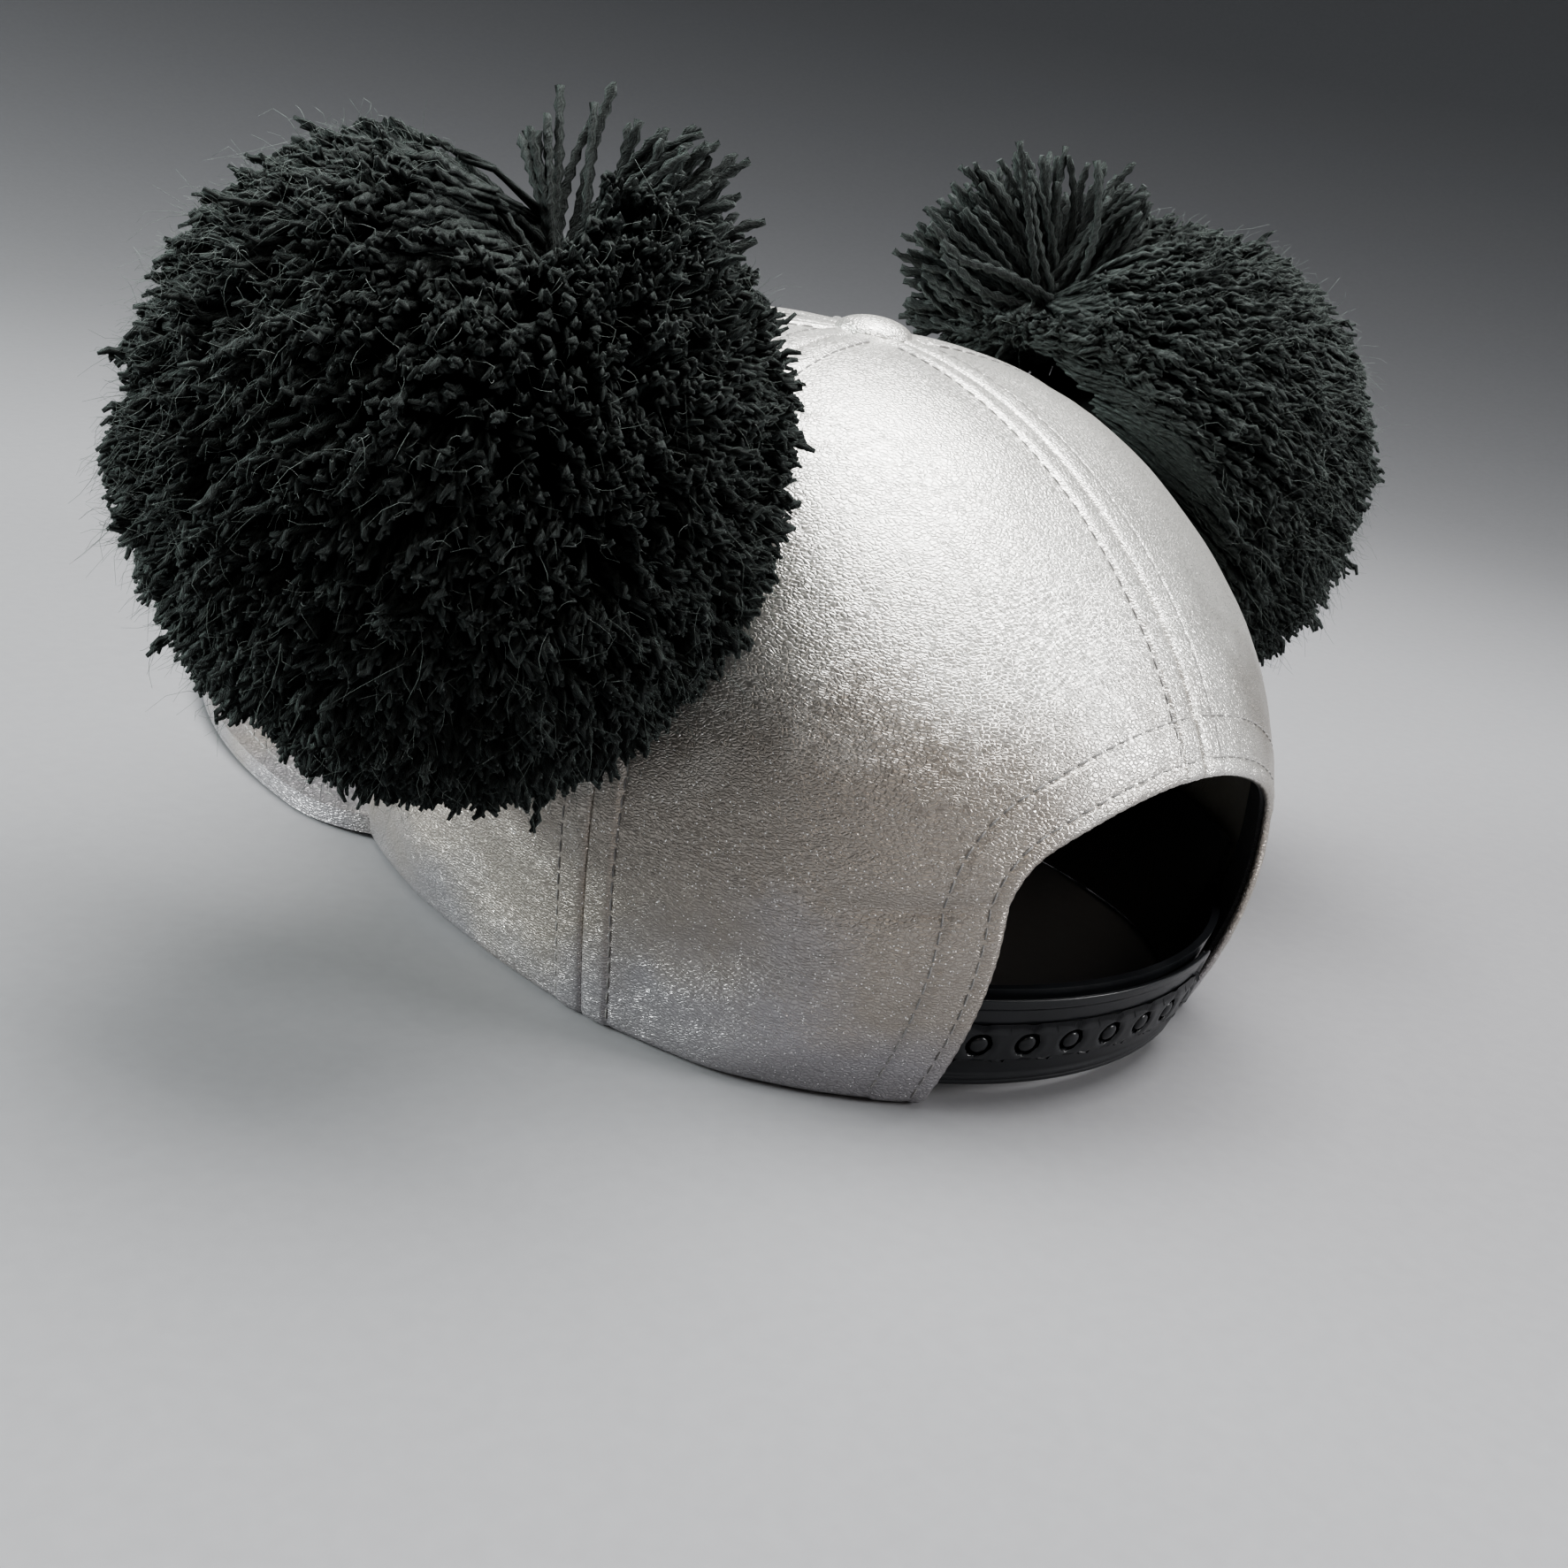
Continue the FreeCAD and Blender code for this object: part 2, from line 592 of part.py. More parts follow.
def visor_outline(name, inset):
    # upright prism in the visor's outline: a round tip and two long side arcs that meet it
    # smoothly, and half an ellipse behind the widest line, under the crown
    body, sketch = body_with_sketch(name, "XY")
    half, tip = size_of["visor_half_width"] - inset, size_of["visor_tip_radius"] - inset
    widest = -size_of["visor_widest"]
    tip_centre = Vector(0, widest - size_of["visor_reach"] + size_of["visor_tip_radius"], 0)
    drop = widest - tip_centre.y
    side = (drop ** 2 + half ** 2 - tip ** 2) / (2 * (half - tip))
    meet = math.atan2(drop, side - half)
    up = Vector(0, 0, 1)

    def arc(x, y, radius, first, last):
        return Part.ArcOfCircle(Part.Circle(Vector(x, y, 0), up, radius), first, last)

    centre = Vector(0, widest, 0)
    back = Part.Ellipse(centre + Vector(half, 0, 0), centre + Vector(0, size_of["visor_tuck"], 0), centre)
    sketch.addGeometry([
        arc(half - side, widest, side, -meet, 0.0),
        Part.ArcOfEllipse(back, 0.0, math.pi),
        arc(side - half, widest, side, math.pi, math.pi + meet),
        arc(0, tip_centre.y, tip, math.pi + meet, 2 * math.pi - meet),
    ], False)
    pad(body, sketch, name + "_pad", "$crown_height / 2")
    body.Placement = Placement(Vector(0, 0, -size_of["crown_height"] / 4), Rotation())
    return body


def arched_layer(name, outline, foot, bottom, top):
    # the part of a prism between two coaxial cylinders along Y
    arch, half = size_of["visor_arch"], size_of["visor_half_width"]
    curve = (half ** 2 + arch ** 2) / (2 * arch)
    length = 4 * size_of["crown_front_length"]

    def cylinder(suffix, height):
        thing = doc.addObject("Part::Cylinder", name + suffix)
        thing.Radius, thing.Height = curve + height, length
        thing.Placement = Placement(Vector(0, 0, arch - curve), Rotation(Vector(1, 0, 0), 90.0))
        return thing
    slab = common(name + "_slab", outline, cylinder("_top", top))
    hollow = fuse(name + "_under", [cylinder("_bottom", bottom), foot])
    return cut(name, slab, hollow)


def visor():
    depth = size_of["crown_height"] / 5

    def foot_grid(scale):
        # the crown's surface, carried straight down below the rim
        columns, rows, lines = 57, 13, []
        for i in range(columns):
            azimuth = 90.0 + 180.0 * i / (columns - 1)
            line = []
            for j in range(rows):
                height = depth * (2.0 * j / (rows - 1) - 1.0)
                point = crown_point(azimuth, max(height, 0.0), -size_of["layer_gap"])
                line.append(Vector(point.x * scale, point.y * scale, height))
            lines.append(line)
        return lines

    def foot(name):
        return feature(name, solid_between(foot_grid(1.0), foot_grid(0.2)))

    cover, board = size_of["visor_cover_thickness"], size_of["visor_board_thickness"]
    gap, lip = size_of["layer_gap"], size_of["visor_lip"]
    full = visor_outline("visor_full_outline", 0.0)
    small = visor_outline("visor_board_outline", lip)
    pocket = visor_outline("visor_pocket_outline", lip - gap)
    top = cover + board + 2 * gap
    under_cover = arched_layer("visor_under_cover", full, foot("crown_foot_1"), 0.0, cover)
    stiffener = arched_layer("visor_board", small, foot("crown_foot_2"), cover + gap, cover + gap + board)
    whole = arched_layer("visor_top_blank", full, foot("crown_foot_3"), cover + gap, top + cover)
    hollow = arched_layer("visor_pocket", pocket, foot("crown_foot_4"), cover, top)
    return [under_cover, stiffener, cut("visor_top_cover", whole, hollow)]


# ---- pom-poms --------------------------------------------------------------------------------

def pompom_frame(side):
    # the tie's axis stands square on the panel; the ball's centre lies on it
    azimuth = size_of["pompom_azimuth"] * side
    anchor = crown_surface(azimuth, size_of["pompom_level"])
    outwards = crown_normal(azimuth, size_of["pompom_level"])
    if outwards.x * side < 0:
        outwards = outwards * -1.0
    return anchor, outwards


def hollow_radius(side):
    # radius of the ball's dished face: a sphere that clears the crown even when the ball tips
    anchor, outwards = pompom_frame(side)
    clearance = size_of["pompom_clearance"]
    tip = math.sin(math.radians(size_of["bob_angle"]))
    largest = size_of["pompom_radius"]
    for i in range(-36, 37):
        for height in range(2, int(size_of["crown_height"]), 3):
            point = crown_surface(size_of["pompom_azimuth"] * side + 2.0 * i, height)
            away = point - anchor
            rise = away.dot(outwards)
            radius = math.sqrt(max(away.Length ** 2 - rise ** 2, 0.0))
            if radius > size_of["pompom_radius"]:
                continue
            rise += radius * tip
            room = clearance - rise
            largest = max(largest, (radius ** 2 + room ** 2) / (2 * max(room, 0.1)))
    return largest


def pompoms():
    nodes, shanks = [], {}
    for name, side in (("left", 1), ("right", -1)):
        anchor, outwards = pompom_frame(side)
        turn = Rotation(Vector(0, 0, 1), outwards)
        centre = anchor + outwards * size_of["pompom_standoff"]
        dish = hollow_radius(side)
        channel = size_of["tie_loop_radius"] + size_of["tie_cord_radius"] + 2 * size_of["layer_gap"]
        print(f"{name} pom-pom: anchor {anchor}, axis {outwards}, centre {centre}, dish {dish:.1f}")

        ball = primitive("Sphere", name + "_ball", Placement(centre, turn), Radius="$pompom_radius")
        hollow = doc.addObject("Part::Sphere", name + "_dish")
        hollow.Radius = dish
        hollow.Placement = Placement(anchor + outwards * (size_of["pompom_clearance"] - dish), turn)
        bore = doc.addObject("Part::Cylinder", name + "_channel")
        bore.Radius = channel
        bore.Height = size_of["pompom_standoff"] + 3 * size_of["tie_cord_radius"] + size_of["tie_loop_radius"]
        bore.Placement = Placement(anchor, turn)
        yarn = cut(name + "_pompom_yarn", ball, fuse(name + "_ball_cuts", [hollow, bore]))

        tie = primitive("Torus", name + "_pompom_tie", Placement(centre, turn), Radius1="$tie_loop_radius",
                        Radius2="$tie_cord_radius + 2 * $layer_gap")
        knot_depth = (size_of["leather_thickness"] + size_of["knot_clearance"]
                      + size_of["knot_radius"] * size_of["knot_flatness"])
        foot = Placement(anchor - outwards * knot_depth, turn)
        rod = primitive("Cylinder", name + "_shank_rod", foot, Radius="$tie_cord_radius",
                        Height="$pompom_standoff + $leather_thickness + $knot_clearance"
                               " + $knot_radius * $knot_flatness + $tie_loop_radius")
        end = Placement(centre + outwards * size_of["tie_loop_radius"], turn)
        stop = primitive("Sphere", name + "_shank_stop", end, Radius="$tie_cord_radius * 1.6")
        shank = fuse(name + "_pompom_shank", [rod, stop])

        ball = primitive("Ellipsoid", name + "_knot_ball", foot, Radius1="$knot_radius * $knot_flatness",
                         Radius2="$knot_radius", Radius3="$knot_radius")
        seat = primitive("Cylinder", name + "_knot_seat", foot, Radius="$tie_cord_radius",
                         Height="$pompom_standoff")
        knot = cut(name + "_anchor_knot", ball, seat)
        nodes += [yarn, tie, shank, knot]

        hole_foot = Placement(anchor - outwards * (2 * knot_depth), turn)
        shanks[name] = primitive("Cylinder", name + "_shank_hole", hole_foot,
                                 Radius="$tie_cord_radius + $shank_hole_clearance",
                                 Height="$pompom_standoff * 2")
    return nodes, shanks


# ---- the whole cap ---------------------------------------------------------------------------

def check_and_export(nodes):
    doc.recompute()
    for thing in doc.Objects:
        if "Invalid" in thing.State or "Error" in thing.State:
            raise RuntimeError(f"{thing.Name}: {thing.State}")
    os.makedirs("parts", exist_ok=True)
    for node in nodes:
        node.Label = node.Name
        shape = node.Shape
        if shape.isNull() or not shape.isValid() or not shape.Solids:
            raise RuntimeError(f"{node.Name} has no valid solid")
        shape.exportStep(f"parts/{node.Label}.step")
        print(f"{node.Label}: {len(shape.Solids)} solid, {shape.Volume:.0f} cubic mm")


fill_sheet()
size_of = {name: size(name) for name, value, note in DRIVING_SIZES}
strap = strap_shape()
hinge = strap_placement(strap["fold"], strap["low"], 0.0)
print(f"strap hinge: through {hinge.Base}, along {hinge.Rotation.multVec(Vector(0, -1, 0))}")
opening_form = arch_form("opening_form", 0.0)
facing_form = arch_form("facing_form", size_of["facing_width"])
pompom_nodes, shank_holes = pompoms()
all_nodes = crown_panels(opening_form, shank_holes)
all_nodes += inner_layers(facing_form, opening_form)
all_nodes += snap_strap() + button() + visor() + pompom_nodes
check_and_export(all_nodes)
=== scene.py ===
# A silver imitation-leather cap with an open back, a plastic snap strap and two yarn pom-poms.
# Lengths in the working functions are millimetres; addPiece turns them into metres.
import bmesh
import bpy
import numpy as np
from mathutils import Matrix, Vector


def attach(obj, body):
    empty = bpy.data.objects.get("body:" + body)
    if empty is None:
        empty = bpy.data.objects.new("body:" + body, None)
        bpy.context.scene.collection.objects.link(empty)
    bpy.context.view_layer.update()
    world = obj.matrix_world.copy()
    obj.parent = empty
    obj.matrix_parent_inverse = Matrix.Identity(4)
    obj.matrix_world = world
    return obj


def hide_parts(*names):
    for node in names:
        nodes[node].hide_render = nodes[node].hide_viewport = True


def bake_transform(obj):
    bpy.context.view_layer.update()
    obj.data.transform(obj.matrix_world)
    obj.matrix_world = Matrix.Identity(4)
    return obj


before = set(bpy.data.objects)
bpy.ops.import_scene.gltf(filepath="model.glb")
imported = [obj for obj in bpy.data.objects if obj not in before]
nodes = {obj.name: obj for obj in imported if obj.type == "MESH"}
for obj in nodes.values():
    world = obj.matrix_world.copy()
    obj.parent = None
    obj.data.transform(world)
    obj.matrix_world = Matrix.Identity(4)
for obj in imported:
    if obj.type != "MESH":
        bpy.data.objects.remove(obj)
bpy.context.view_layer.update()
mm = 0.001
fullTurn = 2 * np.pi


# meshes: small helpers in millimetres

def unit(vectors):
    # each vector divided by its own length
    return vectors / np.maximum(np.linalg.norm(vectors, axis=-1, keepdims=True), 1e-12)


def ease(value, low, high):
    # 0 below low, 1 above high, and 3s^2 - 2s^3 between them
    share = np.clip((value - low) / (high - low), 0, 1)
    return share * share * (3 - 2 * share)


def gridFaces(rows, columns, first=0, closed=False, flip=False):
    # corner numbers of the quads of a grid whose points are stored row by row
    across = columns if closed else columns - 1
    r, c = np.meshgrid(np.arange(rows - 1), np.arange(across), indexing="ij")
    here, right = r * columns + c, r * columns + (c + 1) % columns
    quads = np.stack([here, right, right + columns, here + columns], -1).reshape(-1, 4)
    return first + (quads[:, ::-1] if flip else quads)


def addPiece(name, points, faceSets, material, uvSets=None, marks=None, smooth=True, merge=False):
    # points in mm; faceSets is a list of arrays of corner numbers, uvSets the matching corner uv
    mesh = bpy.data.meshes.new(name)
    mesh.vertices.add(len(points))
    mesh.vertices.foreach_set("co", np.ascontiguousarray(points * mm, np.float32).ravel())
    corners = np.concatenate([f.ravel() for f in faceSets]).astype(np.int32)
    sizes = np.concatenate([np.full(len(f), f.shape[1]) for f in faceSets])
    starts = np.concatenate([[0], np.cumsum(sizes)[:-1]]).astype(np.int32)
    mesh.loops.add(len(corners))
    mesh.loops.foreach_set("vertex_index", corners)
    mesh.polygons.add(len(starts))
    mesh.polygons.foreach_set("loop_start", starts)
    mesh.polygons.foreach_set("use_smooth", np.full(len(starts), smooth))
    if uvSets:
        layer = mesh.uv_layers.new(name="yarnMap")
        uv = np.concatenate([u.reshape(-1, 2) for u in uvSets]).astype(np.float32)
        layer.data.foreach_set("uv", uv.ravel())
    for key, values in (marks or {}).items():
        mark = mesh.attributes.new(key, "FLOAT", "POINT")
        mark.data.foreach_set("value", np.asarray(values, np.float32).ravel())
    mesh.update(calc_edges=True)
    mesh.validate()
    piece = bpy.data.objects.new(name, mesh)
    bpy.context.scene.collection.objects.link(piece)
    mesh.materials.append(material)
    if merge:
        mergeDoubles(mesh)
    return piece


def mergeDoubles(mesh):
    # joins points that lie on each other, so seams and poles are closed
    work = bmesh.new()
    work.from_mesh(mesh)
    bmesh.ops.remove_doubles(work, verts=work.verts, dist=2e-6)
    bmesh.ops.dissolve_degenerate(work, edges=work.edges, dist=1e-7)
    work.to_mesh(mesh)
    work.free()


def shell(outer, inner):
    # closed wall between two grids of the same size: the two faces and a strip along each border
    rows, columns = outer.shape[:2]
    count = rows * columns
    points = np.concatenate([outer.reshape(-1, 3), inner.reshape(-1, 3)])
    number = np.arange(count).reshape(rows, columns)
    border = np.concatenate([number[0, :], number[1:, -1], number[-1, -2::-1], number[-2:0:-1, 0]])
    after = np.roll(border, -1)
    rim = np.stack([border, border + count, after + count, after], -1)
    return points, [gridFaces(rows, columns), gridFaces(rows, columns, count, flip=True), rim]


def softNoise(points, size, seed):
    # random values on a lattice `size` mm apart, blended smoothly: -1 to 1
    lattice = np.random.default_rng(seed).uniform(-1, 1, (32, 32, 32))
    scaled = points / size + 100.37
    cell = np.floor(scaled).astype(int)
    part = scaled - cell
    part = part * part * (3 - 2 * part)
    total = 0
    for corner in range(8):
        step = np.array([corner & 1, corner >> 1 & 1, corner >> 2 & 1])
        share = np.prod(np.where(step, part, 1 - part), axis=-1)
        at = (cell + step) % 32
        total = total + share * lattice[at[..., 0], at[..., 1], at[..., 2]]
    return total


# materials

def newMaterial(name, colour, roughness, **sockets):
    material = bpy.data.materials.new(name)
    material.use_nodes = True
    shader = material.node_tree.nodes["Principled BSDF"]
    shader.inputs["Base Color"].default_value = (*colour, 1)
    shader.inputs["Roughness"].default_value = roughness
    for key, value in sockets.items():
        shader.inputs[key].default_value = value
    return material, material.node_tree, shader


def node(tree, kind, **settings):
    # a node with the given properties; in `at` each input gets its value or is linked to a socket
    made = tree.nodes.new(kind)
    for key, value in settings.pop("at", {}).items():
        if isinstance(value, bpy.types.NodeSocket):
            tree.links.new(value, made.inputs[key])
        else:
            made.inputs[key].default_value = value
    for key, value in settings.items():
        setattr(made, key, value)
    return made


def ramp(tree, source, stops):
    # colours along a 0-1 value
    made = tree.nodes.new("ShaderNodeValToRGB")
    elements = made.color_ramp.elements
    while len(elements) < len(stops):
        elements.new(0.5)
    for element, (place, colour) in zip(elements, stops):
        element.position = place
        element.color = (*colour, 1) if len(colour) == 3 else colour
    tree.links.new(source, made.inputs["Fac"])
    return made.outputs["Color"]


def objectCoords(tree):
    return node(tree, "ShaderNodeTexCoord").outputs["Object"]


def maths(tree, operation, first, second=0.0, third=0.0):
    made = tree.nodes.new("ShaderNodeMath")
    made.operation = operation
    for socket, value in zip(made.inputs, (first, second, third)):
        if isinstance(value, bpy.types.NodeSocket):
            tree.links.new(value, socket)
        else:
            socket.default_value = value
    return made.outputs[0]


def mixColour(tree, share, first, second, blend="MIX"):
    made = tree.nodes.new("ShaderNodeMix")
    made.data_type, made.blend_type = "RGBA", blend
    for socket, value in zip((made.inputs[0], made.inputs[6], made.inputs[7]), (share, first, second)):
        if isinstance(value, bpy.types.NodeSocket):
            tree.links.new(value, socket)
        else:
            socket.default_value = value if isinstance(value, float) else (*value, 1)
    return made.outputs[2]


def bump(tree, shader, height, distance, strength=1.0):
    # relief of the given height in metres
    made = tree.nodes.new("ShaderNodeBump")
    made.inputs["Strength"].default_value = strength
    made.inputs["Distance"].default_value = distance
    tree.links.new(height, made.inputs["Height"])
    tree.links.new(made.outputs[0], shader.inputs["Normal"])


leather = {
    "silver": (0.80, 0.79, 0.76),      # the leather's own silver, left unshaded on the upper part
    "paintedWarmShade": (0.42, 0.385, 0.35),       # painted shade over the middle
    "paintedCoolReflection": (0.43, 0.415, 0.43),       # painted floor reflection and painted shade next to the rim
    # the coating's reflective flakes, partly real, painted near white as glints
    "paintedFlakeGlint": (1.0, 1.0, 0.98),
    "metallic": 0.82,
    "roughness": 0.36,
    "grainSize": 0.00075,
    "grainHeight": 0.00011,
    "grainParts": (0.7, 0.5, 1.5),     # shares of pebbles, fine noise and wrinkles in the relief
    "paintedCreaseShade": (0.66, 0.66, 0.66),    # painted shade in the creases between the pebbles
    "sparkleSize": 0.0003,
    "sparkleAbove": 0.955,             # only flakes whose random value passes this shine
    "patchScale": 24.0,
    "paintedShadeHeightScale": 8.6,                 # turns metres above the rim into a place on the painted shade ramp
}


def silverLeather(name="silverLeather"):
    # metallic coated leather: wrinkled grain with painted shade in its creases, painted shade and painted
    # floor reflection that change with height, and small flakes painted near white as glints
    material, tree, shader = newMaterial(name, leather["silver"], leather["roughness"],
                                         Metallic=leather["metallic"])
    place = objectCoords(tree)
    wobble = node(tree, "ShaderNodeTexNoise", at={"Vector": place, "Scale": 260.0, "Detail": 3.0})
    bent = node(tree, "ShaderNodeVectorMath", operation="MULTIPLY_ADD")
    tree.links.new(wobble.outputs["Color"], bent.inputs[0])
    bent.inputs[1].default_value = (0.0016,) * 3
    tree.links.new(place, bent.inputs[2])
    stretched = node(tree, "ShaderNodeMapping", at={"Vector": bent.outputs[0]})
    stretched.inputs["Scale"].default_value = (0.75, 0.75, 1.5)
    cells = node(tree, "ShaderNodeTexVoronoi", feature="DISTANCE_TO_EDGE",
                 at={"Vector": stretched.outputs[0], "Scale": 1 / leather["grainSize"]})
    pebbles = maths(tree, "MINIMUM", maths(tree, "MULTIPLY", cells.outputs["Distance"], 4.0), 1.0)
    fine = node(tree, "ShaderNodeTexNoise", at={"Vector": stretched.outputs[0], "Scale": 1500.0,
                                                "Detail": 3.0, "Roughness": 0.6})
    wrinkle = node(tree, "ShaderNodeTexNoise", at={"Vector": stretched.outputs[0], "Scale": 420.0,
                                                   "Detail": 4.0, "Roughness": 0.65})
    pebbleShare, fineShare, wrinkleShare = leather["grainParts"]
    height = maths(tree, "ADD", maths(tree, "MULTIPLY", pebbles, pebbleShare),
                   maths(tree, "ADD", maths(tree, "MULTIPLY", fine.outputs["Fac"], fineShare),
                         maths(tree, "MULTIPLY", wrinkle.outputs["Fac"], wrinkleShare)))
    bump(tree, shader, height, leather["grainHeight"], 0.9)
    flakes = node(tree, "ShaderNodeTexVoronoi", feature="F1",
                  at={"Vector": place, "Scale": 1 / leather["sparkleSize"]})
    chance = node(tree, "ShaderNodeSeparateColor", at={"Color": flakes.outputs["Color"]})
    paintedGlintMask = maths(tree, "MULTIPLY",
                   maths(tree, "GREATER_THAN", chance.outputs[0], leather["sparkleAbove"]),
                   maths(tree, "LESS_THAN", flakes.outputs["Distance"], 0.42))
    # painted shade and reflection by height: the colour goes from the darker cool painted floor reflection at
    # the rim over the darker warm painted shade in the middle to the leather's own silver above, the borders
    # moved by soft noise
    patch = node(tree, "ShaderNodeTexNoise",
                 at={"Vector": place, "Scale": leather["patchScale"], "Detail": 4.0})
    parts = node(tree, "ShaderNodeSeparateXYZ", at={"Vector": place})
    level = maths(tree, "ADD", maths(tree, "MULTIPLY", parts.outputs[2], leather["paintedShadeHeightScale"]),
                  maths(tree, "MULTIPLY_ADD", patch.outputs["Fac"], 0.9, -0.45))
    tone = ramp(tree, level, [(0.02, leather["paintedCoolReflection"]), (0.22, leather["paintedWarmShade"]),
                              (0.40, leather["paintedWarmShade"]), (0.66, leather["silver"])])
    # painted shade: the colour is darkened where the grain's relief is low, between the pebbles
    creaseShadeTint = ramp(tree, pebbles, [(0.0, leather["paintedCreaseShade"]), (0.5, (1, 1, 1))])
    tone = mixColour(tree, 0.7, tone, creaseShadeTint, "MULTIPLY")
    # the chosen flakes take the painted glint colour in place of the tone; they are also smoother
    tree.links.new(mixColour(tree, paintedGlintMask, tone, leather["paintedFlakeGlint"]), shader.inputs["Base Color"])
    rough = maths(tree, "SUBTRACT", maths(tree, "MULTIPLY_ADD", patch.outputs["Fac"], 0.16,
                                          leather["roughness"] - 0.06),
                  maths(tree, "MULTIPLY", paintedGlintMask, 0.22))
    tree.links.new(rough, shader.inputs["Roughness"])
    return material


def wovenFabric(name, colour, second, pitch=0.0006):
    # plain weave: two crossed sine waves, one lifted where the other dips
    material, tree, shader = newMaterial(name, colour, 0.9)
    shader.inputs["Sheen Weight"].default_value = 0.25
    place = objectCoords(tree)
    parts = node(tree, "ShaderNodeSeparateXYZ", at={"Vector": place})
    around = maths(tree, "ADD", parts.outputs[0], maths(tree, "MULTIPLY", parts.outputs[1], 0.73))
    warp = maths(tree, "SINE", maths(tree, "MULTIPLY", around, fullTurn / pitch))
    weft = maths(tree, "SINE", maths(tree, "MULTIPLY", parts.outputs[2], fullTurn / pitch))
    weave = maths(tree, "MULTIPLY", warp, weft)
    slub = node(tree, "ShaderNodeTexNoise", at={"Vector": place, "Scale": 180.0, "Detail": 4.0})
    tree.links.new(mixColour(tree, slub.outputs["Fac"], second, colour), shader.inputs["Base Color"])
    bump(tree, shader, maths(tree, "ADD", weave, slub.outputs["Fac"]), 0.00008, 0.8)
    return material


def satinPlastic(name="strapPlastic"):
    material, tree, shader = newMaterial(name, (0.008, 0.0088, 0.0102), 0.34)
    shader.inputs["Specular IOR Level"].default_value = 0.42
    place = objectCoords(tree)
    haze = node(tree, "ShaderNodeTexNoise", at={"Vector": place, "Scale": 90.0, "Detail": 5.0})
    tree.links.new(maths(tree, "MULTIPLY_ADD", haze.outputs["Fac"], 0.14, 0.25), shader.inputs["Roughness"])
    tone = ramp(tree, haze.outputs["Fac"],
                [(0.3, (0.006, 0.0066, 0.008)), (0.7, (0.011, 0.012, 0.014))])
    tree.links.new(tone, shader.inputs["Base Color"])
    grain = node(tree, "ShaderNodeTexNoise", at={"Vector": place, "Scale": 1400.0, "Detail": 2.0})
    bump(tree, shader, grain.outputs["Fac"], 0.00003, 0.5)
    return material


def threadMaterial(name, colour):
    material, tree, shader = newMaterial(name, colour, 0.7)
    place = objectCoords(tree)
    ply = node(tree, "ShaderNodeTexNoise", at={"Vector": place, "Scale": 2200.0, "Detail": 2.0})
    tree.links.new(ramp(tree, ply.outputs["Fac"], [(0.3, tuple(0.6 * c for c in colour)), (0.7, colour)]),
                   shader.inputs["Base Color"])
    bump(tree, shader, ply.outputs["Fac"], 0.00008, 0.8)
    return material


yarn = {
    "dark": (0.0072, 0.0080, 0.0086),
    # the yarn's painted lit tone, for painted highlights on its ply crests
    "light": (0.078, 0.085, 0.085),
    "plyPitch": 3.1,       # mm between the bumps of the twist
    # fuzz fibres of the dark yarn, painted pale as light shining through them from behind
    "paintedLitFuzz": (0.15, 0.185, 0.17),
    # the packed yarn inside the ball, darker than the yarn as painted shade
    "core": (0.004, 0.0055, 0.005),
    "sheen": 0.16,
    "sheenTint": (0.68, 0.82, 0.76),
    "paintedFurrowShade": 0.25,    # share of the painted lit tone left in the painted shade between two plies
    "streaks": 5.0,        # strength of the lighter streaks
    "relief": 0.0006,
}


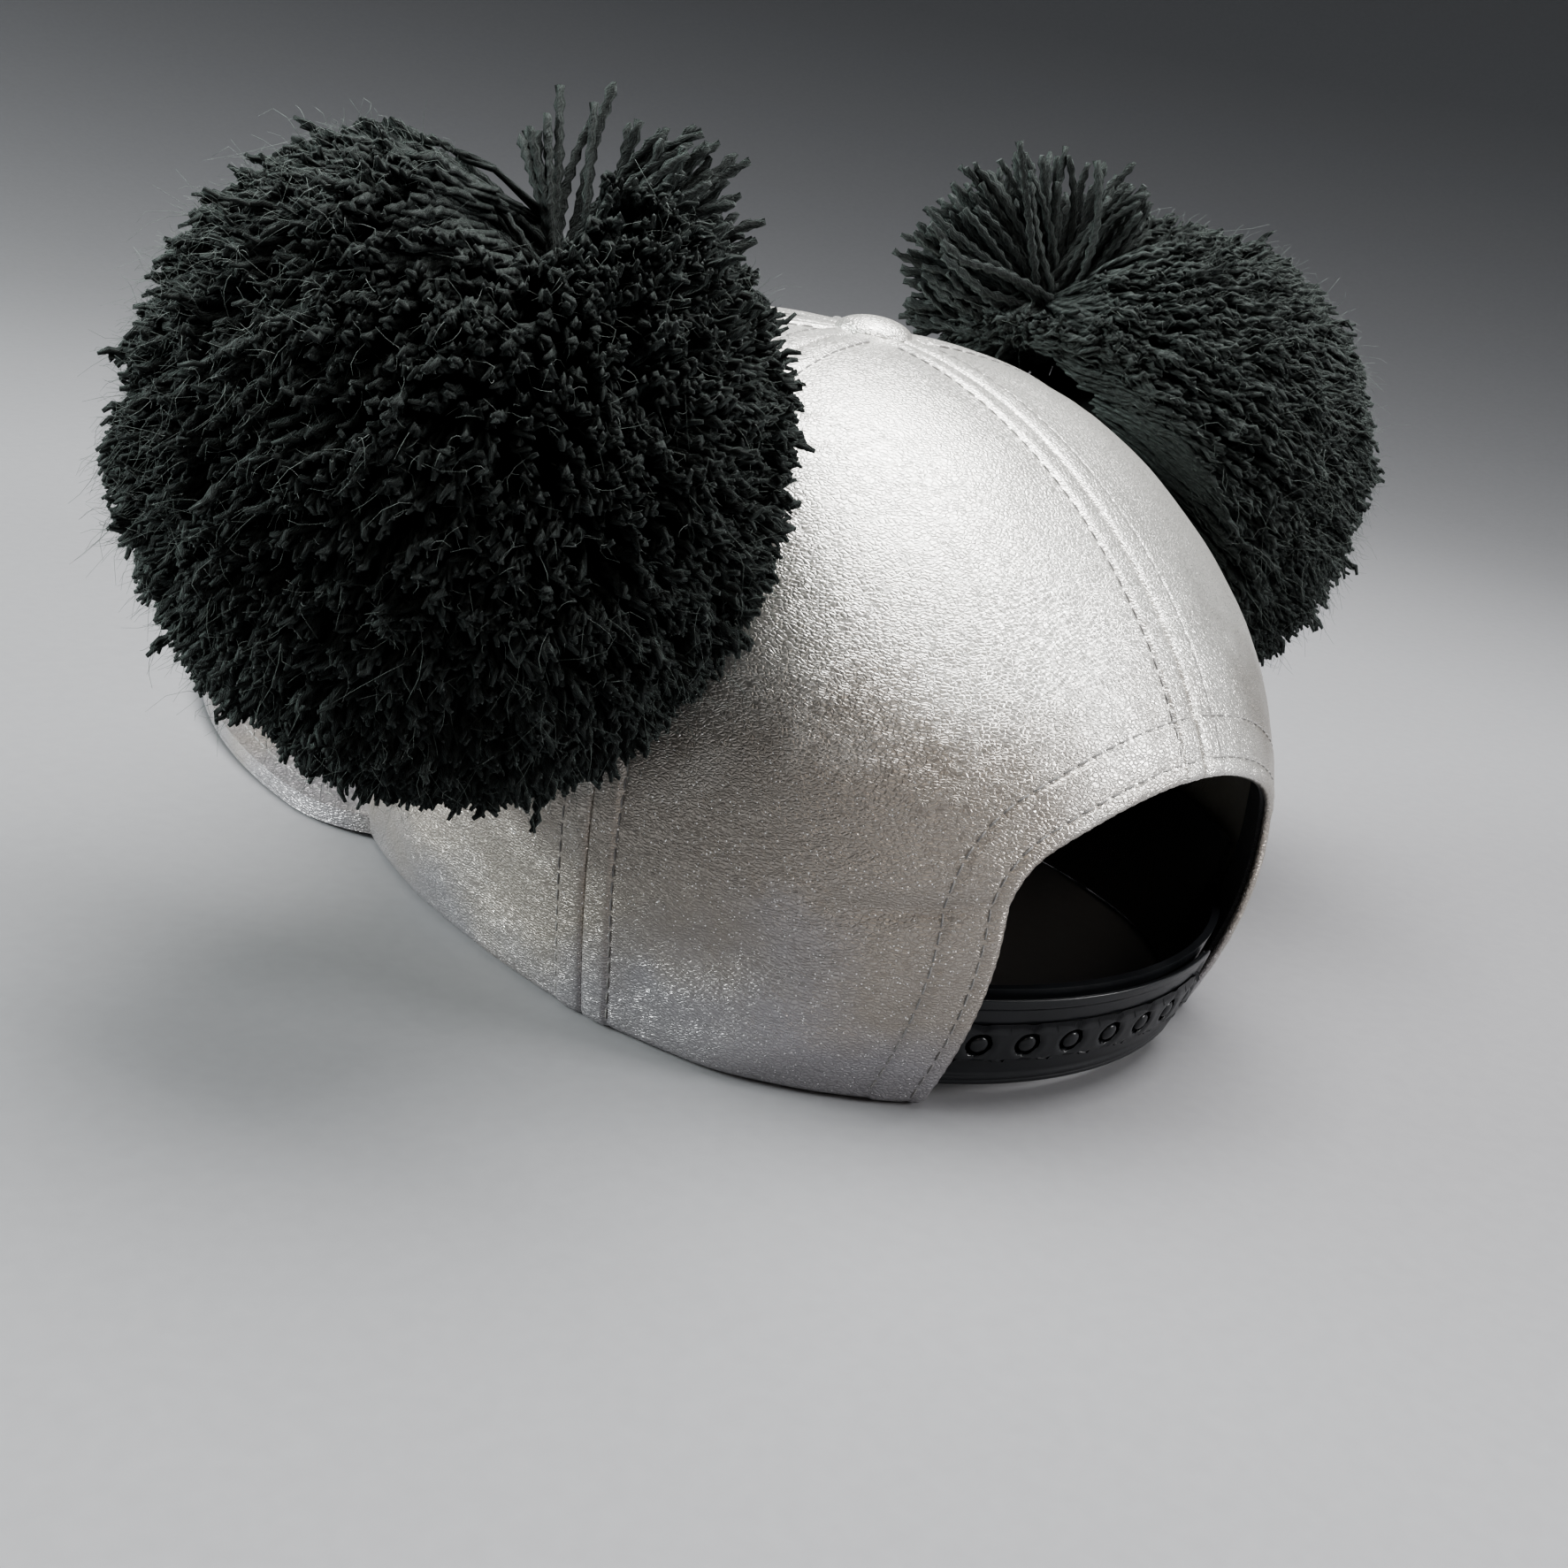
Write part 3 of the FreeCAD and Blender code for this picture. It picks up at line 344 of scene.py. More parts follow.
def yarnMaterial(name="pompomYarn"):
    # two twisted plies: a slanting wave on the strand's own map, with fine fibres along it; the wave also
    # paints highlight on the ply crests and shade between them
    material, tree, shader = newMaterial(name, yarn["dark"], 0.85)
    shader.inputs["Sheen Weight"].default_value = yarn["sheen"]
    shader.inputs["Sheen Roughness"].default_value = 0.5
    shader.inputs["Sheen Tint"].default_value = (*yarn["sheenTint"], 1)
    shader.inputs["Specular IOR Level"].default_value = 0.2
    uv = node(tree, "ShaderNodeUVMap", uv_map="yarnMap").outputs[0]
    parts = node(tree, "ShaderNodeSeparateXYZ", at={"Vector": uv})
    slant = maths(tree, "ADD", maths(tree, "MULTIPLY", parts.outputs[0], 2.0),
                  maths(tree, "MULTIPLY", parts.outputs[1], 1 / yarn["plyPitch"]))
    wave = maths(tree, "SINE", maths(tree, "MULTIPLY", slant, fullTurn))
    wave = maths(tree, "MULTIPLY_ADD", wave, 0.5, 0.5)
    fibres = maths(tree, "SINE", maths(tree, "MULTIPLY", slant, fullTurn * 5))
    place = objectCoords(tree)
    along = node(tree, "ShaderNodeCombineXYZ", at={"X": maths(tree, "MULTIPLY", parts.outputs[0], 7.0),
                                                   "Y": maths(tree, "MULTIPLY", parts.outputs[1], 0.45)})
    lay = node(tree, "ShaderNodeVectorMath", operation="MULTIPLY_ADD")
    tree.links.new(place, lay.inputs[0])
    lay.inputs[1].default_value = (160.0,) * 3
    tree.links.new(along.outputs[0], lay.inputs[2])
    wool = node(tree, "ShaderNodeTexNoise", at={"Vector": lay.outputs[0], "Scale": 1.6, "Detail": 4.0,
                                                "Roughness": 0.7})
    strand = node(tree, "ShaderNodeAttribute", attribute_name="strandToneAndPaintedEndShade").outputs["Fac"]
    streaks = maths(tree, "POWER", wool.outputs["Fac"], 3.0)
    # the colour goes from the dark yarn toward its painted lit tone: painted highlight on the ply crests and
    # painted shade between them, times the random streaks and the strand's tone
    lift = maths(tree, "MULTIPLY",
                 maths(tree, "MULTIPLY_ADD", wave, 1 - yarn["paintedFurrowShade"], yarn["paintedFurrowShade"]),
                 maths(tree, "MULTIPLY", streaks, yarn["streaks"]))
    lift = maths(tree, "MULTIPLY", lift, strand)
    tree.links.new(mixColour(tree, lift, yarn["dark"], yarn["light"]), shader.inputs["Base Color"])
    height = maths(tree, "ADD", wave, maths(tree, "ADD", maths(tree, "MULTIPLY", fibres, 0.12),
                                            maths(tree, "MULTIPLY", wool.outputs["Fac"], 2.2)))
    bump(tree, shader, height, yarn["relief"])
    return material


def plainYarn(name, colour, sheen):
    material, tree, shader = newMaterial(name, colour, 0.9)
    shader.inputs["Sheen Weight"].default_value = sheen
    place = objectCoords(tree)
    wool = node(tree, "ShaderNodeTexNoise", at={"Vector": place, "Scale": 900.0, "Detail": 3.0})
    tree.links.new(ramp(tree, wool.outputs["Fac"], [(0.35, tuple(0.5 * c for c in colour)), (0.7, colour)]),
                   shader.inputs["Base Color"])
    bump(tree, shader, wool.outputs["Fac"], 0.0003, 0.7)
    return material


def brushedMetal(name):
    material, tree, shader = newMaterial(name, (0.55, 0.56, 0.57), 0.35, Metallic=1.0)
    place = objectCoords(tree)
    haze = node(tree, "ShaderNodeTexNoise", at={"Vector": place, "Scale": 400.0, "Detail": 4.0})
    tree.links.new(maths(tree, "MULTIPLY_ADD", haze.outputs["Fac"], 0.2, 0.25), shader.inputs["Roughness"])
    bump(tree, shader, haze.outputs["Fac"], 0.00004, 0.4)
    return material


finish = {
    "leather": silverLeather(),
    "plastic": satinPlastic(),
    "tape": wovenFabric("seamTape", (0.035, 0.036, 0.038), (0.018, 0.018, 0.020)),
    "buckram": wovenFabric("stiffBuckram", (0.30, 0.30, 0.29), (0.20, 0.20, 0.19), 0.0016),
    "sweatband": wovenFabric("sweatbandCotton", (0.030, 0.031, 0.034), (0.014, 0.014, 0.016)),
    "backing": wovenFabric("leatherBacking", (0.60, 0.57, 0.50), (0.46, 0.43, 0.37)),
    "thread": threadMaterial("greyThread", (0.30, 0.295, 0.29)),
    "yarn": yarnMaterial(),
    "core": plainYarn("pompomCorePaintedShade", yarn["core"], 0.0),
    "paintedLitFuzz": plainYarn("yarnFuzzPaintedLit", yarn["paintedLitFuzz"], 0.3),
    "cord": plainYarn("tieCord", (0.012, 0.014, 0.014), 0.3),
    "metal": brushedMetal("buttonMetal"),
    "board": plainYarn("visorBoard", (0.12, 0.12, 0.12), 0.0),
}
print("materials ready")


# crown: its curve, panels and stitches

crown = {
    "halfWidth": 82.8, "backLength": 102.3, "frontLength": 119.8, "height": 116.5,
    "frontFullness": 2.73, "backFullness": 2.08, "planFullness": 2.03, "apexShift": 6.9,
    "backTaper": 0.21, "sideTaper": 0.09, "taperHeight": 80.7,
    "backSeam": 78.0, "frontSeam": 128.0, "leather": 1.2,
}
opening = {"width": 79.0, "shoulder": 38.5, "rise": 21.5, "corner": 14.0}
seamForm = {
    "ridge": 0.42,         # how far the leather over the seam allowances stands up
    "row": 6.0,            # top-stitch rows from the seam
    "groove": 0.75,
    "hem": 0.30,
    "hemRows": (3.2, 10.2),
    "stitch": 3.1,
    "thread": 0.20,
    "seamDip": 0.20,       # how far the rows sink in along the seams and round the opening
    "hemDip": 0.18,
    "pucker": 0.07,
    "rolled": 1.3,         # radius of the turned edges
}
# soft unevenness of the panels: height, size, stretch upright and seed
unevenness = ((0.30, 23.0, 1, 3), (0.13, 9.0, 1, 4), (0.05, 3.6, 2.2, 5))
seamAngles = np.radians([0, crown["backSeam"], crown["frontSeam"],
                         180, -crown["frontSeam"], -crown["backSeam"]])


def crownPoint(azimuth, height):
    # outline in plan: a superellipse |x/a|^p + |y/b|^p = 1, b longer in front than behind;
    # it shrinks with height as (1 - share^n)^(1/n), leans forward and tapers in low down behind
    azimuth, height = np.broadcast_arrays(np.asarray(azimuth, float), np.asarray(height, float))
    share = np.clip(height / crown["height"], 0, 1)
    sine, cosine = np.sin(azimuth), np.cos(azimuth)
    behind = cosine > 0
    fullness = crown["frontFullness"] + (crown["backFullness"] - crown["frontFullness"]) \
        * np.where(behind, cosine ** 2, 0)
    inward = np.maximum(1 - share ** fullness, 0) ** (1 / fullness)
    power = crown["planFullness"]
    stretch = (np.abs(cosine) ** power + np.abs(sine) ** power) ** (-1 / power)
    low = np.clip(1 - height / crown["taperHeight"], 0, 1) ** 2
    halfWidth = crown["halfWidth"] * (1 - crown["sideTaper"] * low)
    backLength = crown["backLength"] * (1 - crown["backTaper"] * low * cosine)
    length = np.where(behind, backLength, crown["frontLength"])
    return np.stack([halfWidth * inward * sine * stretch,
                     -crown["apexShift"] * share ** 2 + length * inward * cosine * stretch, height], -1)


def crownNormal(azimuth, height):
    # cross product of small steps along the surface, turned outwards
    height = np.minimum(height, crown["height"] - 0.003)
    here = crownPoint(azimuth, height)
    across = crownPoint(azimuth + 0.0015, height) - here
    down = crownPoint(azimuth, height - np.minimum(0.04, 0.5 * (crown["height"] - height))) - here
    return unit(np.cross(unit(across), unit(down)))


def spread(azimuth, height):
    # millimetres along the surface for each radian of azimuth
    return np.linalg.norm(crownPoint(azimuth + 0.001, height) - crownPoint(azimuth, height), axis=-1) / 0.001


def makeHeightTable(turns=721, steps=501):
    # for each azimuth, the height at even shares of the arc from the top (0) to the rim (1)
    azimuths = np.linspace(-np.pi, np.pi, turns)
    lean = np.linspace(0, np.pi / 2, 3000)
    heights = crown["height"] * np.cos(lean) ** (2 / 2.5)
    lines = crownPoint(azimuths[:, None], heights[None, :])
    gone = np.concatenate([np.zeros((turns, 1)),
                           np.cumsum(np.linalg.norm(np.diff(lines, axis=1), axis=-1), axis=1)], axis=1)
    shares = np.linspace(0, 1, steps)
    table = np.stack([np.interp(shares * g[-1], g, heights) for g in gone])
    return azimuths, gone[:, -1], table


tableAzimuths, tableArcs, tableHeights = makeHeightTable()


def arcLength(azimuth):
    return np.interp((azimuth + np.pi) % fullTurn - np.pi, tableAzimuths, tableArcs)


def heightAt(azimuth, share):
    # bilinear reading of the height table
    turns, steps = tableHeights.shape
    a = ((np.asarray(azimuth) + np.pi) % fullTurn) / fullTurn * (turns - 1)
    s = np.clip(share, 0, 1) * (steps - 1)
    a0, s0 = np.minimum(a.astype(int), turns - 2), np.minimum(s.astype(int), steps - 2)
    fa, fs = a - a0, s - s0
    return ((1 - fa) * (1 - fs) * tableHeights[a0, s0] + fa * (1 - fs) * tableHeights[a0 + 1, s0]
            + (1 - fa) * fs * tableHeights[a0, s0 + 1] + fa * fs * tableHeights[a0 + 1, s0 + 1])


def azimuthOf(x, height):
    # azimuth on the back whose surface point lies x mm sideways at this height
    azimuths = np.linspace(0, np.pi / 2, 400)
    xs = crownPoint(azimuths[None, :], np.atleast_1d(height)[:, None])[..., 0]
    return np.array([np.interp(v, row, azimuths) for v, row in zip(np.atleast_1d(x), xs)])


def archOutline(count=260):
    # one half of the opening seen from behind, from the rim up to the centre line: an upright,
    # a corner arc, and the flat top arc that touches it
    half, shoulder = opening["width"] / 2, opening["shoulder"]
    rise, corner = opening["rise"], opening["corner"]
    top = ((half - corner) ** 2 + rise ** 2 - corner ** 2) / (2 * (rise - corner))
    centre = shoulder + rise - top
    meet = np.arctan2(shoulder - centre, half - corner)
    first, second = np.linspace(0, meet, 60), np.linspace(meet, np.pi / 2, 120)
    path = np.concatenate([
        np.stack([np.full(30, half), np.linspace(0, shoulder, 30)], -1),
        np.stack([half - corner + corner * np.cos(first), shoulder + corner * np.sin(first)], -1),
        np.stack([top * np.cos(second), centre + top * np.sin(second)], -1)])
    gone = np.concatenate([[0], np.cumsum(np.linalg.norm(np.diff(path, axis=0), axis=1))])
    even = np.linspace(0, gone[-1], count)
    return np.stack([np.interp(even, gone, path[:, 0]), np.interp(even, gone, path[:, 1])], -1)


def shareAt(azimuth, height):
    # the share of the arc from the top at which the surface has this height
    row = np.round((azimuth + np.pi) / fullTurn * (len(tableAzimuths) - 1)).astype(int)
    lines = tableHeights[row]
    above = np.clip((lines > height[:, None]).sum(1) - 1, 0, lines.shape[1] - 2)
    every = np.arange(len(lines))
    high, low = lines[every, above], lines[every, above + 1]
    return (above + np.clip((high - height) / np.maximum(high - low, 1e-9), 0, 1)) / (lines.shape[1] - 1)


outlineFlat = archOutline()
outlineAzimuths = azimuthOf(outlineFlat[:, 0], outlineFlat[:, 1])
outlineLine = crownPoint(outlineAzimuths, outlineFlat[:, 1])

dents = (
    # azimuth and height of the middle, reach along and across, lean of the long axis, depth in mm
    (41.5, 38.0, 14.0, 1.5, 11.0, 0.8),
    (47.0, 35.0, 16.0, 5.0, 14.0, 0.55),
    (42.0, 43.5, 15.0, 4.0, 8.0, -0.45),
    (62.0, 22.0, 15.0, 6.5, 12.0, 1.9),
    (54.0, 7.0, 13.0, 5.0, 20.0, -1.3),
    (66.0, 52.0, 20.0, 15.0, -30.0, 1.1),
    (47.0, 66.0, 26.0, 17.0, 35.0, -0.9),
    (30.0, 78.0, 18.0, 12.0, 30.0, 0.7),
    (92.0, 16.0, 12.0, 9.0, -35.0, 1.0),
    (105.0, 12.0, 13.0, 8.0, 0.0, -0.9),
    (71.0, 9.0, 6.0, 8.0, 60.0, 0.7),
    (-40.0, 40.0, 12.0, 3.0, -14.0, 0.7),
    (-58.0, 24.0, 18.0, 9.0, -10.0, 1.3),
    (-52.0, 62.0, 24.0, 16.0, -35.0, -0.9),
    (-92.0, 18.0, 13.0, 9.0, 25.0, 1.0),
    (150.0, 30.0, 22.0, 14.0, 10.0, 0.8),
    (-152.0, 26.0, 20.0, 13.0, -15.0, 0.9),
)


def nearestOutline(points):
    # distance of each point from the edge of the opening, both halves alike
    folded = points * np.where(np.arange(3) == 0, np.sign(points[..., :1] + 1e-12), 1)
    flat = folded.reshape(-1, 3)
    distance = np.empty(len(flat))
    for start in range(0, len(flat), 4000):
        part = flat[start:start + 4000, None, :] - outlineLine[None, :, :]
        distance[start:start + 4000] = np.sqrt((part ** 2).sum(-1).min(1))
    return distance.reshape(points.shape[:-1])


def leatherRise(azimuth, height, points):
    # how far the outer face stands above the plain crown, in mm: a flat-topped ridge over each
    # seam with a groove in its middle and a dip along each stitch row, a turned hem round the
    # opening, a rolled rim, shallow dents and soft unevenness
    width = spread(azimuth, height)
    rise = sum(depth * softNoise(points * np.array([1, 1, upright]), reach, seed)
               for depth, reach, upright, seed in unevenness)
    fromSeams = np.full(azimuth.shape, 1e3)
    for seam in seamAngles:
        turn = (azimuth - seam + np.pi) % fullTurn - np.pi
        fromSeams = np.minimum(fromSeams, np.abs(turn) * width)
    wavy = seamForm["row"] + 0.12 * softNoise(points, 5.0, 6)
    fromEdge = nearestOutline(points)
    rise = rise * ease(np.minimum(fromSeams, fromEdge), 1.0, 14.0)
    ridge = seamForm["ridge"] * (1 - ease(fromSeams, wavy - 1.1, wavy + 0.1))
    ridge = ridge - seamForm["groove"] * np.exp(-fromSeams / 0.42) - 0.10 * np.exp(-(fromSeams / 2.2) ** 2)
    ridge = ridge - seamForm["seamDip"] * np.exp(-((fromSeams - wavy) / 0.38) ** 2)
    first, second = seamForm["hemRows"]
    hem = seamForm["hem"] * (1 - ease(fromEdge, second - 0.8, second + 0.3)) \
        + 0.22 * np.exp(-((fromEdge - 1.5) / 1.3) ** 2)
    for row in (first, second):
        hem = hem - seamForm["hemDip"] * np.exp(-((fromEdge - row) / 0.42) ** 2)
    # the stitches pucker the hem, one wave for every second stitch
    wave = (points[..., 2] + points[..., 0]) * fullTurn / seamForm["stitch"] * 0.5
    pucker = seamForm["pucker"] * np.sin(wave)
    rise = rise + ridge + hem + pucker * np.exp(-((fromEdge - first) / 2.5) ** 2)
    for turn, middle, along, across, lean, depth in dents:
        sideways = ((azimuth - np.radians(turn) + np.pi) % fullTurn - np.pi) * width
        upwards = height - middle
        c, v = np.cos(np.radians(lean)), np.sin(np.radians(lean))
        a, b = (sideways * -c + upwards * v) / along, (sideways * v + upwards * c) / across
        rise = rise - depth * np.exp(-a * a - b * b) * ease(fromSeams, 0.0, 9.0)
    rolled = seamForm["rolled"]
    for distance in (fromEdge, height):
        inside = np.clip(rolled - distance, 0, rolled)
        rise = rise - 0.75 * (rolled - np.sqrt(np.maximum(rolled ** 2 - inside ** 2, 0)))
    return rise


# distances from a seam, from the hem and from the rim at which the grids have their lines, in mm
fineBand = np.concatenate([[0, 0.15, 0.35, 0.6, 0.9, 1.3, 1.8], np.arange(2.4, 4.7, 0.75),
                           np.arange(4.9, 7.3, 0.3), [7.9, 8.7]])
hemBand = np.concatenate([[0, 0.12, 0.3, 0.55, 0.85, 1.2, 1.6, 2.1], np.arange(2.5, 4.2, 0.28),
                          [4.8, 5.8, 6.9, 8.0, 9.0], np.arange(9.5, 11.3, 0.3), [12.0]])
rimBand = np.array([0, 0.1, 0.25, 0.45, 0.7, 1.0, 1.4, 2.0, 2.9])


cell = 1.25            # mm between the plain lines of a panel's grid
backWidth, backArc = 84.0, 112.0       # mm along and up the middle of a back panel's patch


def wedgeGrid(first, last):
    # azimuth and height on a grid that narrows to the top: columns keep their millimetres from
    # the two seams while there is room, rows are even along the arc
    middle = (first + last) / 2
    arc = arcLength(middle)
    shares = 1 - np.concatenate([rimBand, np.arange(4.0, arc - 0.5, cell)]) / arc
    shares = np.append(shares, 0.0)
    acrossTurn = spread(middle, heightAt(np.full(len(shares), middle), shares))
    rowWidth = (last - first) * np.maximum(acrossTurn, 0.01)
    count = max(int((rowWidth.max() - 2 * fineBand[-1]) / cell), 6)
    room = np.minimum(1, rowWidth / (2 * fineBand[-1] + 4.0))[:, None]
    near = fineBand[None, :] * room / rowWidth[:, None]
    between = near[:, -1:] + (1 - 2 * near[:, -1:]) * np.linspace(0, 1, count)[None, 1:-1]
    across = np.concatenate([near, between, 1 - near[:, ::-1]], axis=1)
    azimuth = first + (last - first) * across
    return azimuth, heightAt(azimuth, np.broadcast_to(shares[:, None], azimuth.shape))


def flatMap(azimuth, share):
    # the crown unrolled: distance from the top is the arc, direction the azimuth
    arc = share * arcLength(azimuth)
    return np.stack([arc * np.cos(azimuth), arc * np.sin(azimuth)], -1)


def backGrid():
    # a patch between four edges (rim, side seam, centre seam, opening): each point is the blend
    # of the two pairs of facing edges less the blend of the corners, on the unrolled crown
    side = np.radians(crown["backSeam"])
    hemShare, fineShare = hemBand / backWidth, fineBand / backWidth
    across = np.concatenate([hemShare, np.linspace(hemShare[-1], 1 - fineShare[-1], 52)[1:-1],
                             1 - fineShare[::-1]])
    fineShare = fineBand / backArc
    up = np.concatenate([rimBand / backArc, np.linspace(4.0 / backArc, 1 - fineShare[-1], 88),
                         1 - fineShare[-2::-1]])
    outlineShare = shareAt(outlineAzimuths, outlineFlat[:, 1])
    even = np.linspace(0, 1, len(outlineAzimuths))
    hemEdge = flatMap(np.interp(up, even, outlineAzimuths), np.interp(up, even, outlineShare))
    seamEdge = flatMap(np.full(len(up), side), 1 - up)
    start = outlineAzimuths[0] + (side - outlineAzimuths[0]) * across
    rimEdge = flatMap(start, np.ones(len(across)))
    centreEdge = flatMap(np.zeros(len(across)), outlineShare[-1] * (1 - across))
    s, t = across[None, :, None], up[:, None, None]
    flat = ((1 - s) * hemEdge[:, None] + s * seamEdge[:, None]
            + (1 - t) * rimEdge[None] + t * centreEdge[None]
            - (1 - s) * (1 - t) * rimEdge[0] - s * (1 - t) * rimEdge[-1]
            - (1 - s) * t * centreEdge[0] - s * t * centreEdge[-1])
    azimuth = np.arctan2(flat[..., 1], flat[..., 0])
    share = np.linalg.norm(flat, axis=-1) / arcLength(azimuth)
    height = heightAt(azimuth, share)
    height[0] = 0
    # the edge of the opening is put exactly on its outline
    height[:, 0] = np.interp(up, even, outlineFlat[:, 1])
    azimuth[:, 0] = np.interp(up, even, outlineAzimuths)
    return azimuth, height


def leatherPanel(name, azimuth, height, replaced):
    # outer face follows the crown plus leatherRise, inner face lies one thickness inside
    base, out = crownPoint(azimuth, height), crownNormal(azimuth, height)
    rise = leatherRise(azimuth, height, base)
    outer = base + out * rise[..., None]
    inner = base - out * np.maximum(crown["leather"], 0.45 - rise)[..., None]
    outer[..., 2] = np.maximum(outer[..., 2], 0.0)
    inner[..., 2] = np.maximum(inner[..., 2], 0.0)
    points, faces = shell(outer, inner)
    # the faces are turned round if a cell in the middle of the grid looks inwards
    r, c = 40, 30
    cellNormal = np.cross(outer[r, c + 1] - outer[r, c], outer[r + 1, c] - outer[r, c])
    if np.sum(cellNormal * out[r, c]) < 0:
        faces = [f[:, ::-1] for f in faces]
    piece = addPiece(name, points, faces, finish["leather"])
    piece.data.materials.append(finish["backing"])
    kinds = np.concatenate([np.full(len(f), k) for k, f in zip((0, 1, 0), faces)]).astype(np.int32)
    if len(kinds) == len(piece.data.polygons):
        piece.data.polygons.foreach_set("material_index", kinds)
    mergeDoubles(piece.data)
    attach(piece, "crown")
    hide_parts(replaced)
    return piece


def tubes(paths, radii, sides, twist=0.0, oval=0.0):
    # round bars along many paths at once: a ring of `sides` points about each path point, turned by
    # twist radians per mm and stretched by the share oval; both ends are closed
    count, steps = paths.shape[:2]
    ahead = unit(np.gradient(paths, axis=1))
    sideways = np.eye(3)[np.argmin(np.abs(ahead[:, steps // 2]), axis=-1)]
    normal = unit(sideways[:, None] - ahead * np.sum(ahead * sideways[:, None], -1, keepdims=True))
    other = np.cross(ahead, normal)
    gone = np.concatenate([np.zeros((count, 1)),
                           np.cumsum(np.linalg.norm(np.diff(paths, axis=1), axis=-1), axis=1)], axis=1)
    around = np.arange(sides) * fullTurn / sides
    angle = around[None, None, :] + twist * gone[..., None]
    reach = np.broadcast_to(radii, (count, steps))[..., None] \
        * (1 + oval * np.cos(2 * around))[None, None, :]
    points = paths[:, :, None] + reach[..., None] * (np.cos(angle)[..., None] * normal[:, :, None]
                                                     + np.sin(angle)[..., None] * other[:, :, None])
    one = gridFaces(steps, sides, closed=True)
    quads = (one[None] + (np.arange(count) * steps * sides)[:, None, None]).reshape(-1, 4)
    firstRing = (np.arange(count) * steps * sides)[:, None] + np.arange(sides)[::-1]
    lastRing = (np.arange(count) * steps * sides)[:, None] + (steps - 1) * sides + np.arange(sides)
    u = np.tile(np.arange(sides) / sides, steps - 1)
    row = np.repeat(np.arange(steps - 1), sides)
    uvQuads = np.empty((count, len(u), 4, 2))
    for corner, (du, dv) in enumerate(((0, 0), (1, 0), (1, 1), (0, 1))):
        uvQuads[:, :, corner, 0] = u + du / sides
        uvQuads[:, :, corner, 1] = gone[:, row + dv]
    uvFirst = np.full((count, sides, 2), 0.5)
    uvFirst[..., 1] = gone[:, :1]
    uvLast = np.full((count, sides, 2), 0.5)
    uvLast[..., 1] = gone[:, -1:]
    return points.reshape(-1, 3), [quads, firstRing, lastRing], [uvQuads.reshape(-1, 4, 2), uvFirst, uvLast]


# along one stitch: shares of its length, height over the leather in mm, thread's share of its radius
stitchShares = np.array([0.07, 0.2, 0.5, 0.8, 0.93])
stitchHeights = np.array([-0.34, 0.02, 0.12, 0.02, -0.34])
stitchRadii = np.array([0.7, 1.0, 1.0, 1.0, 0.7])


def stitchRun(azimuth, height):
    # one row of stitches: each rises out of its needle hole, lies along the row and sinks again
    line = crownPoint(azimuth, height)
    gone = np.concatenate([[0], np.cumsum(np.linalg.norm(np.diff(line, axis=0), axis=1))])
    holes = np.arange(0.8, gone[-1] - 0.5, seamForm["stitch"])
    at = holes[:-1, None] + stitchShares[None, :] * seamForm["stitch"]
    a, h = np.interp(at, gone, azimuth), np.interp(at, gone, height)
    base = crownPoint(a, h)
    above = leatherRise(a, h, base) + stitchHeights
    return base + crownNormal(a, h)[..., None, :].reshape(*a.shape, 3) * above[..., None]


print("making the leather crown")
for side, word in ((1, "left"), (-1, "right")):
    title = word.capitalize()
    azimuth, height = backGrid()
    leatherPanel("backPanel" + title, side * azimuth, height, f"back_{word}_panel")
    azimuth, height = wedgeGrid(np.radians(crown["backSeam"]), np.radians(crown["frontSeam"]))
    leatherPanel("sidePanel" + title, side * azimuth, height, f"{word}_side_panel")
    azimuth, height = wedgeGrid(np.radians(crown["frontSeam"]), np.pi)
    leatherPanel("frontPanel" + title, side * azimuth, height, f"front_{word}_panel")

print("stitching the seams and the hem")
runs = []
for seam in seamAngles:
    shares = np.linspace(0.07, 0.995, 600)
    if seam == 0:
        shares = np.linspace(0.07, shareAt(np.array([0.0]), outlineFlat[-1:, 1])[0] - 0.004, 600)
    centre = np.full(len(shares), (seam + np.pi) % fullTurn - np.pi)
    height = heightAt(centre, shares)
    for side in (-1, 1):
        azimuth = centre + side * seamForm["row"] / np.maximum(spread(centre, height), 0.3 * seamForm["row"])
        runs.append(stitchRun(azimuth, heightAt(azimuth, shares)))
along = np.gradient(outlineLine, axis=0)
away = unit(np.cross(crownNormal(outlineAzimuths, outlineFlat[:, 1]), along))
beside = crownPoint(outlineAzimuths + 0.05, outlineFlat[:, 1] + 3) - outlineLine
away = away * np.sign(np.sum(away * beside, -1, keepdims=True))
for row in seamForm["hemRows"]:
    line = outlineLine + away * row
    line = line[(line[:, 2] > 0.4) & (line[:, 0] > -0.2)]
    azimuth = azimuthOf(line[:, 0], line[:, 2])
    for side in (-1, 1):
        runs.append(stitchRun(side * azimuth, line[:, 2]))
stitches = np.concatenate(runs)
points, faces, uvs = tubes(stitches, seamForm["thread"] * stitchRadii, 5)
stitching = addPiece("topStitching", points, faces, finish["thread"])
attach(stitching, "crown")


# stitches on the visor

visor = {
    "halfWidth": 72.5, "widest": 80.0, "reach": 105.0, "tipRadius": 63.0, "tuck": 50.0,
    "arch": 5.0, "thickness": 3.96,
    "rows": (4.0, 11.0, 18.0),     # stitch rows from the edge
    "stitch": 3.6, "thread": 0.22,
    "clear": 1.07,                 # where the rows stop before the crown, as a share of its rim
}


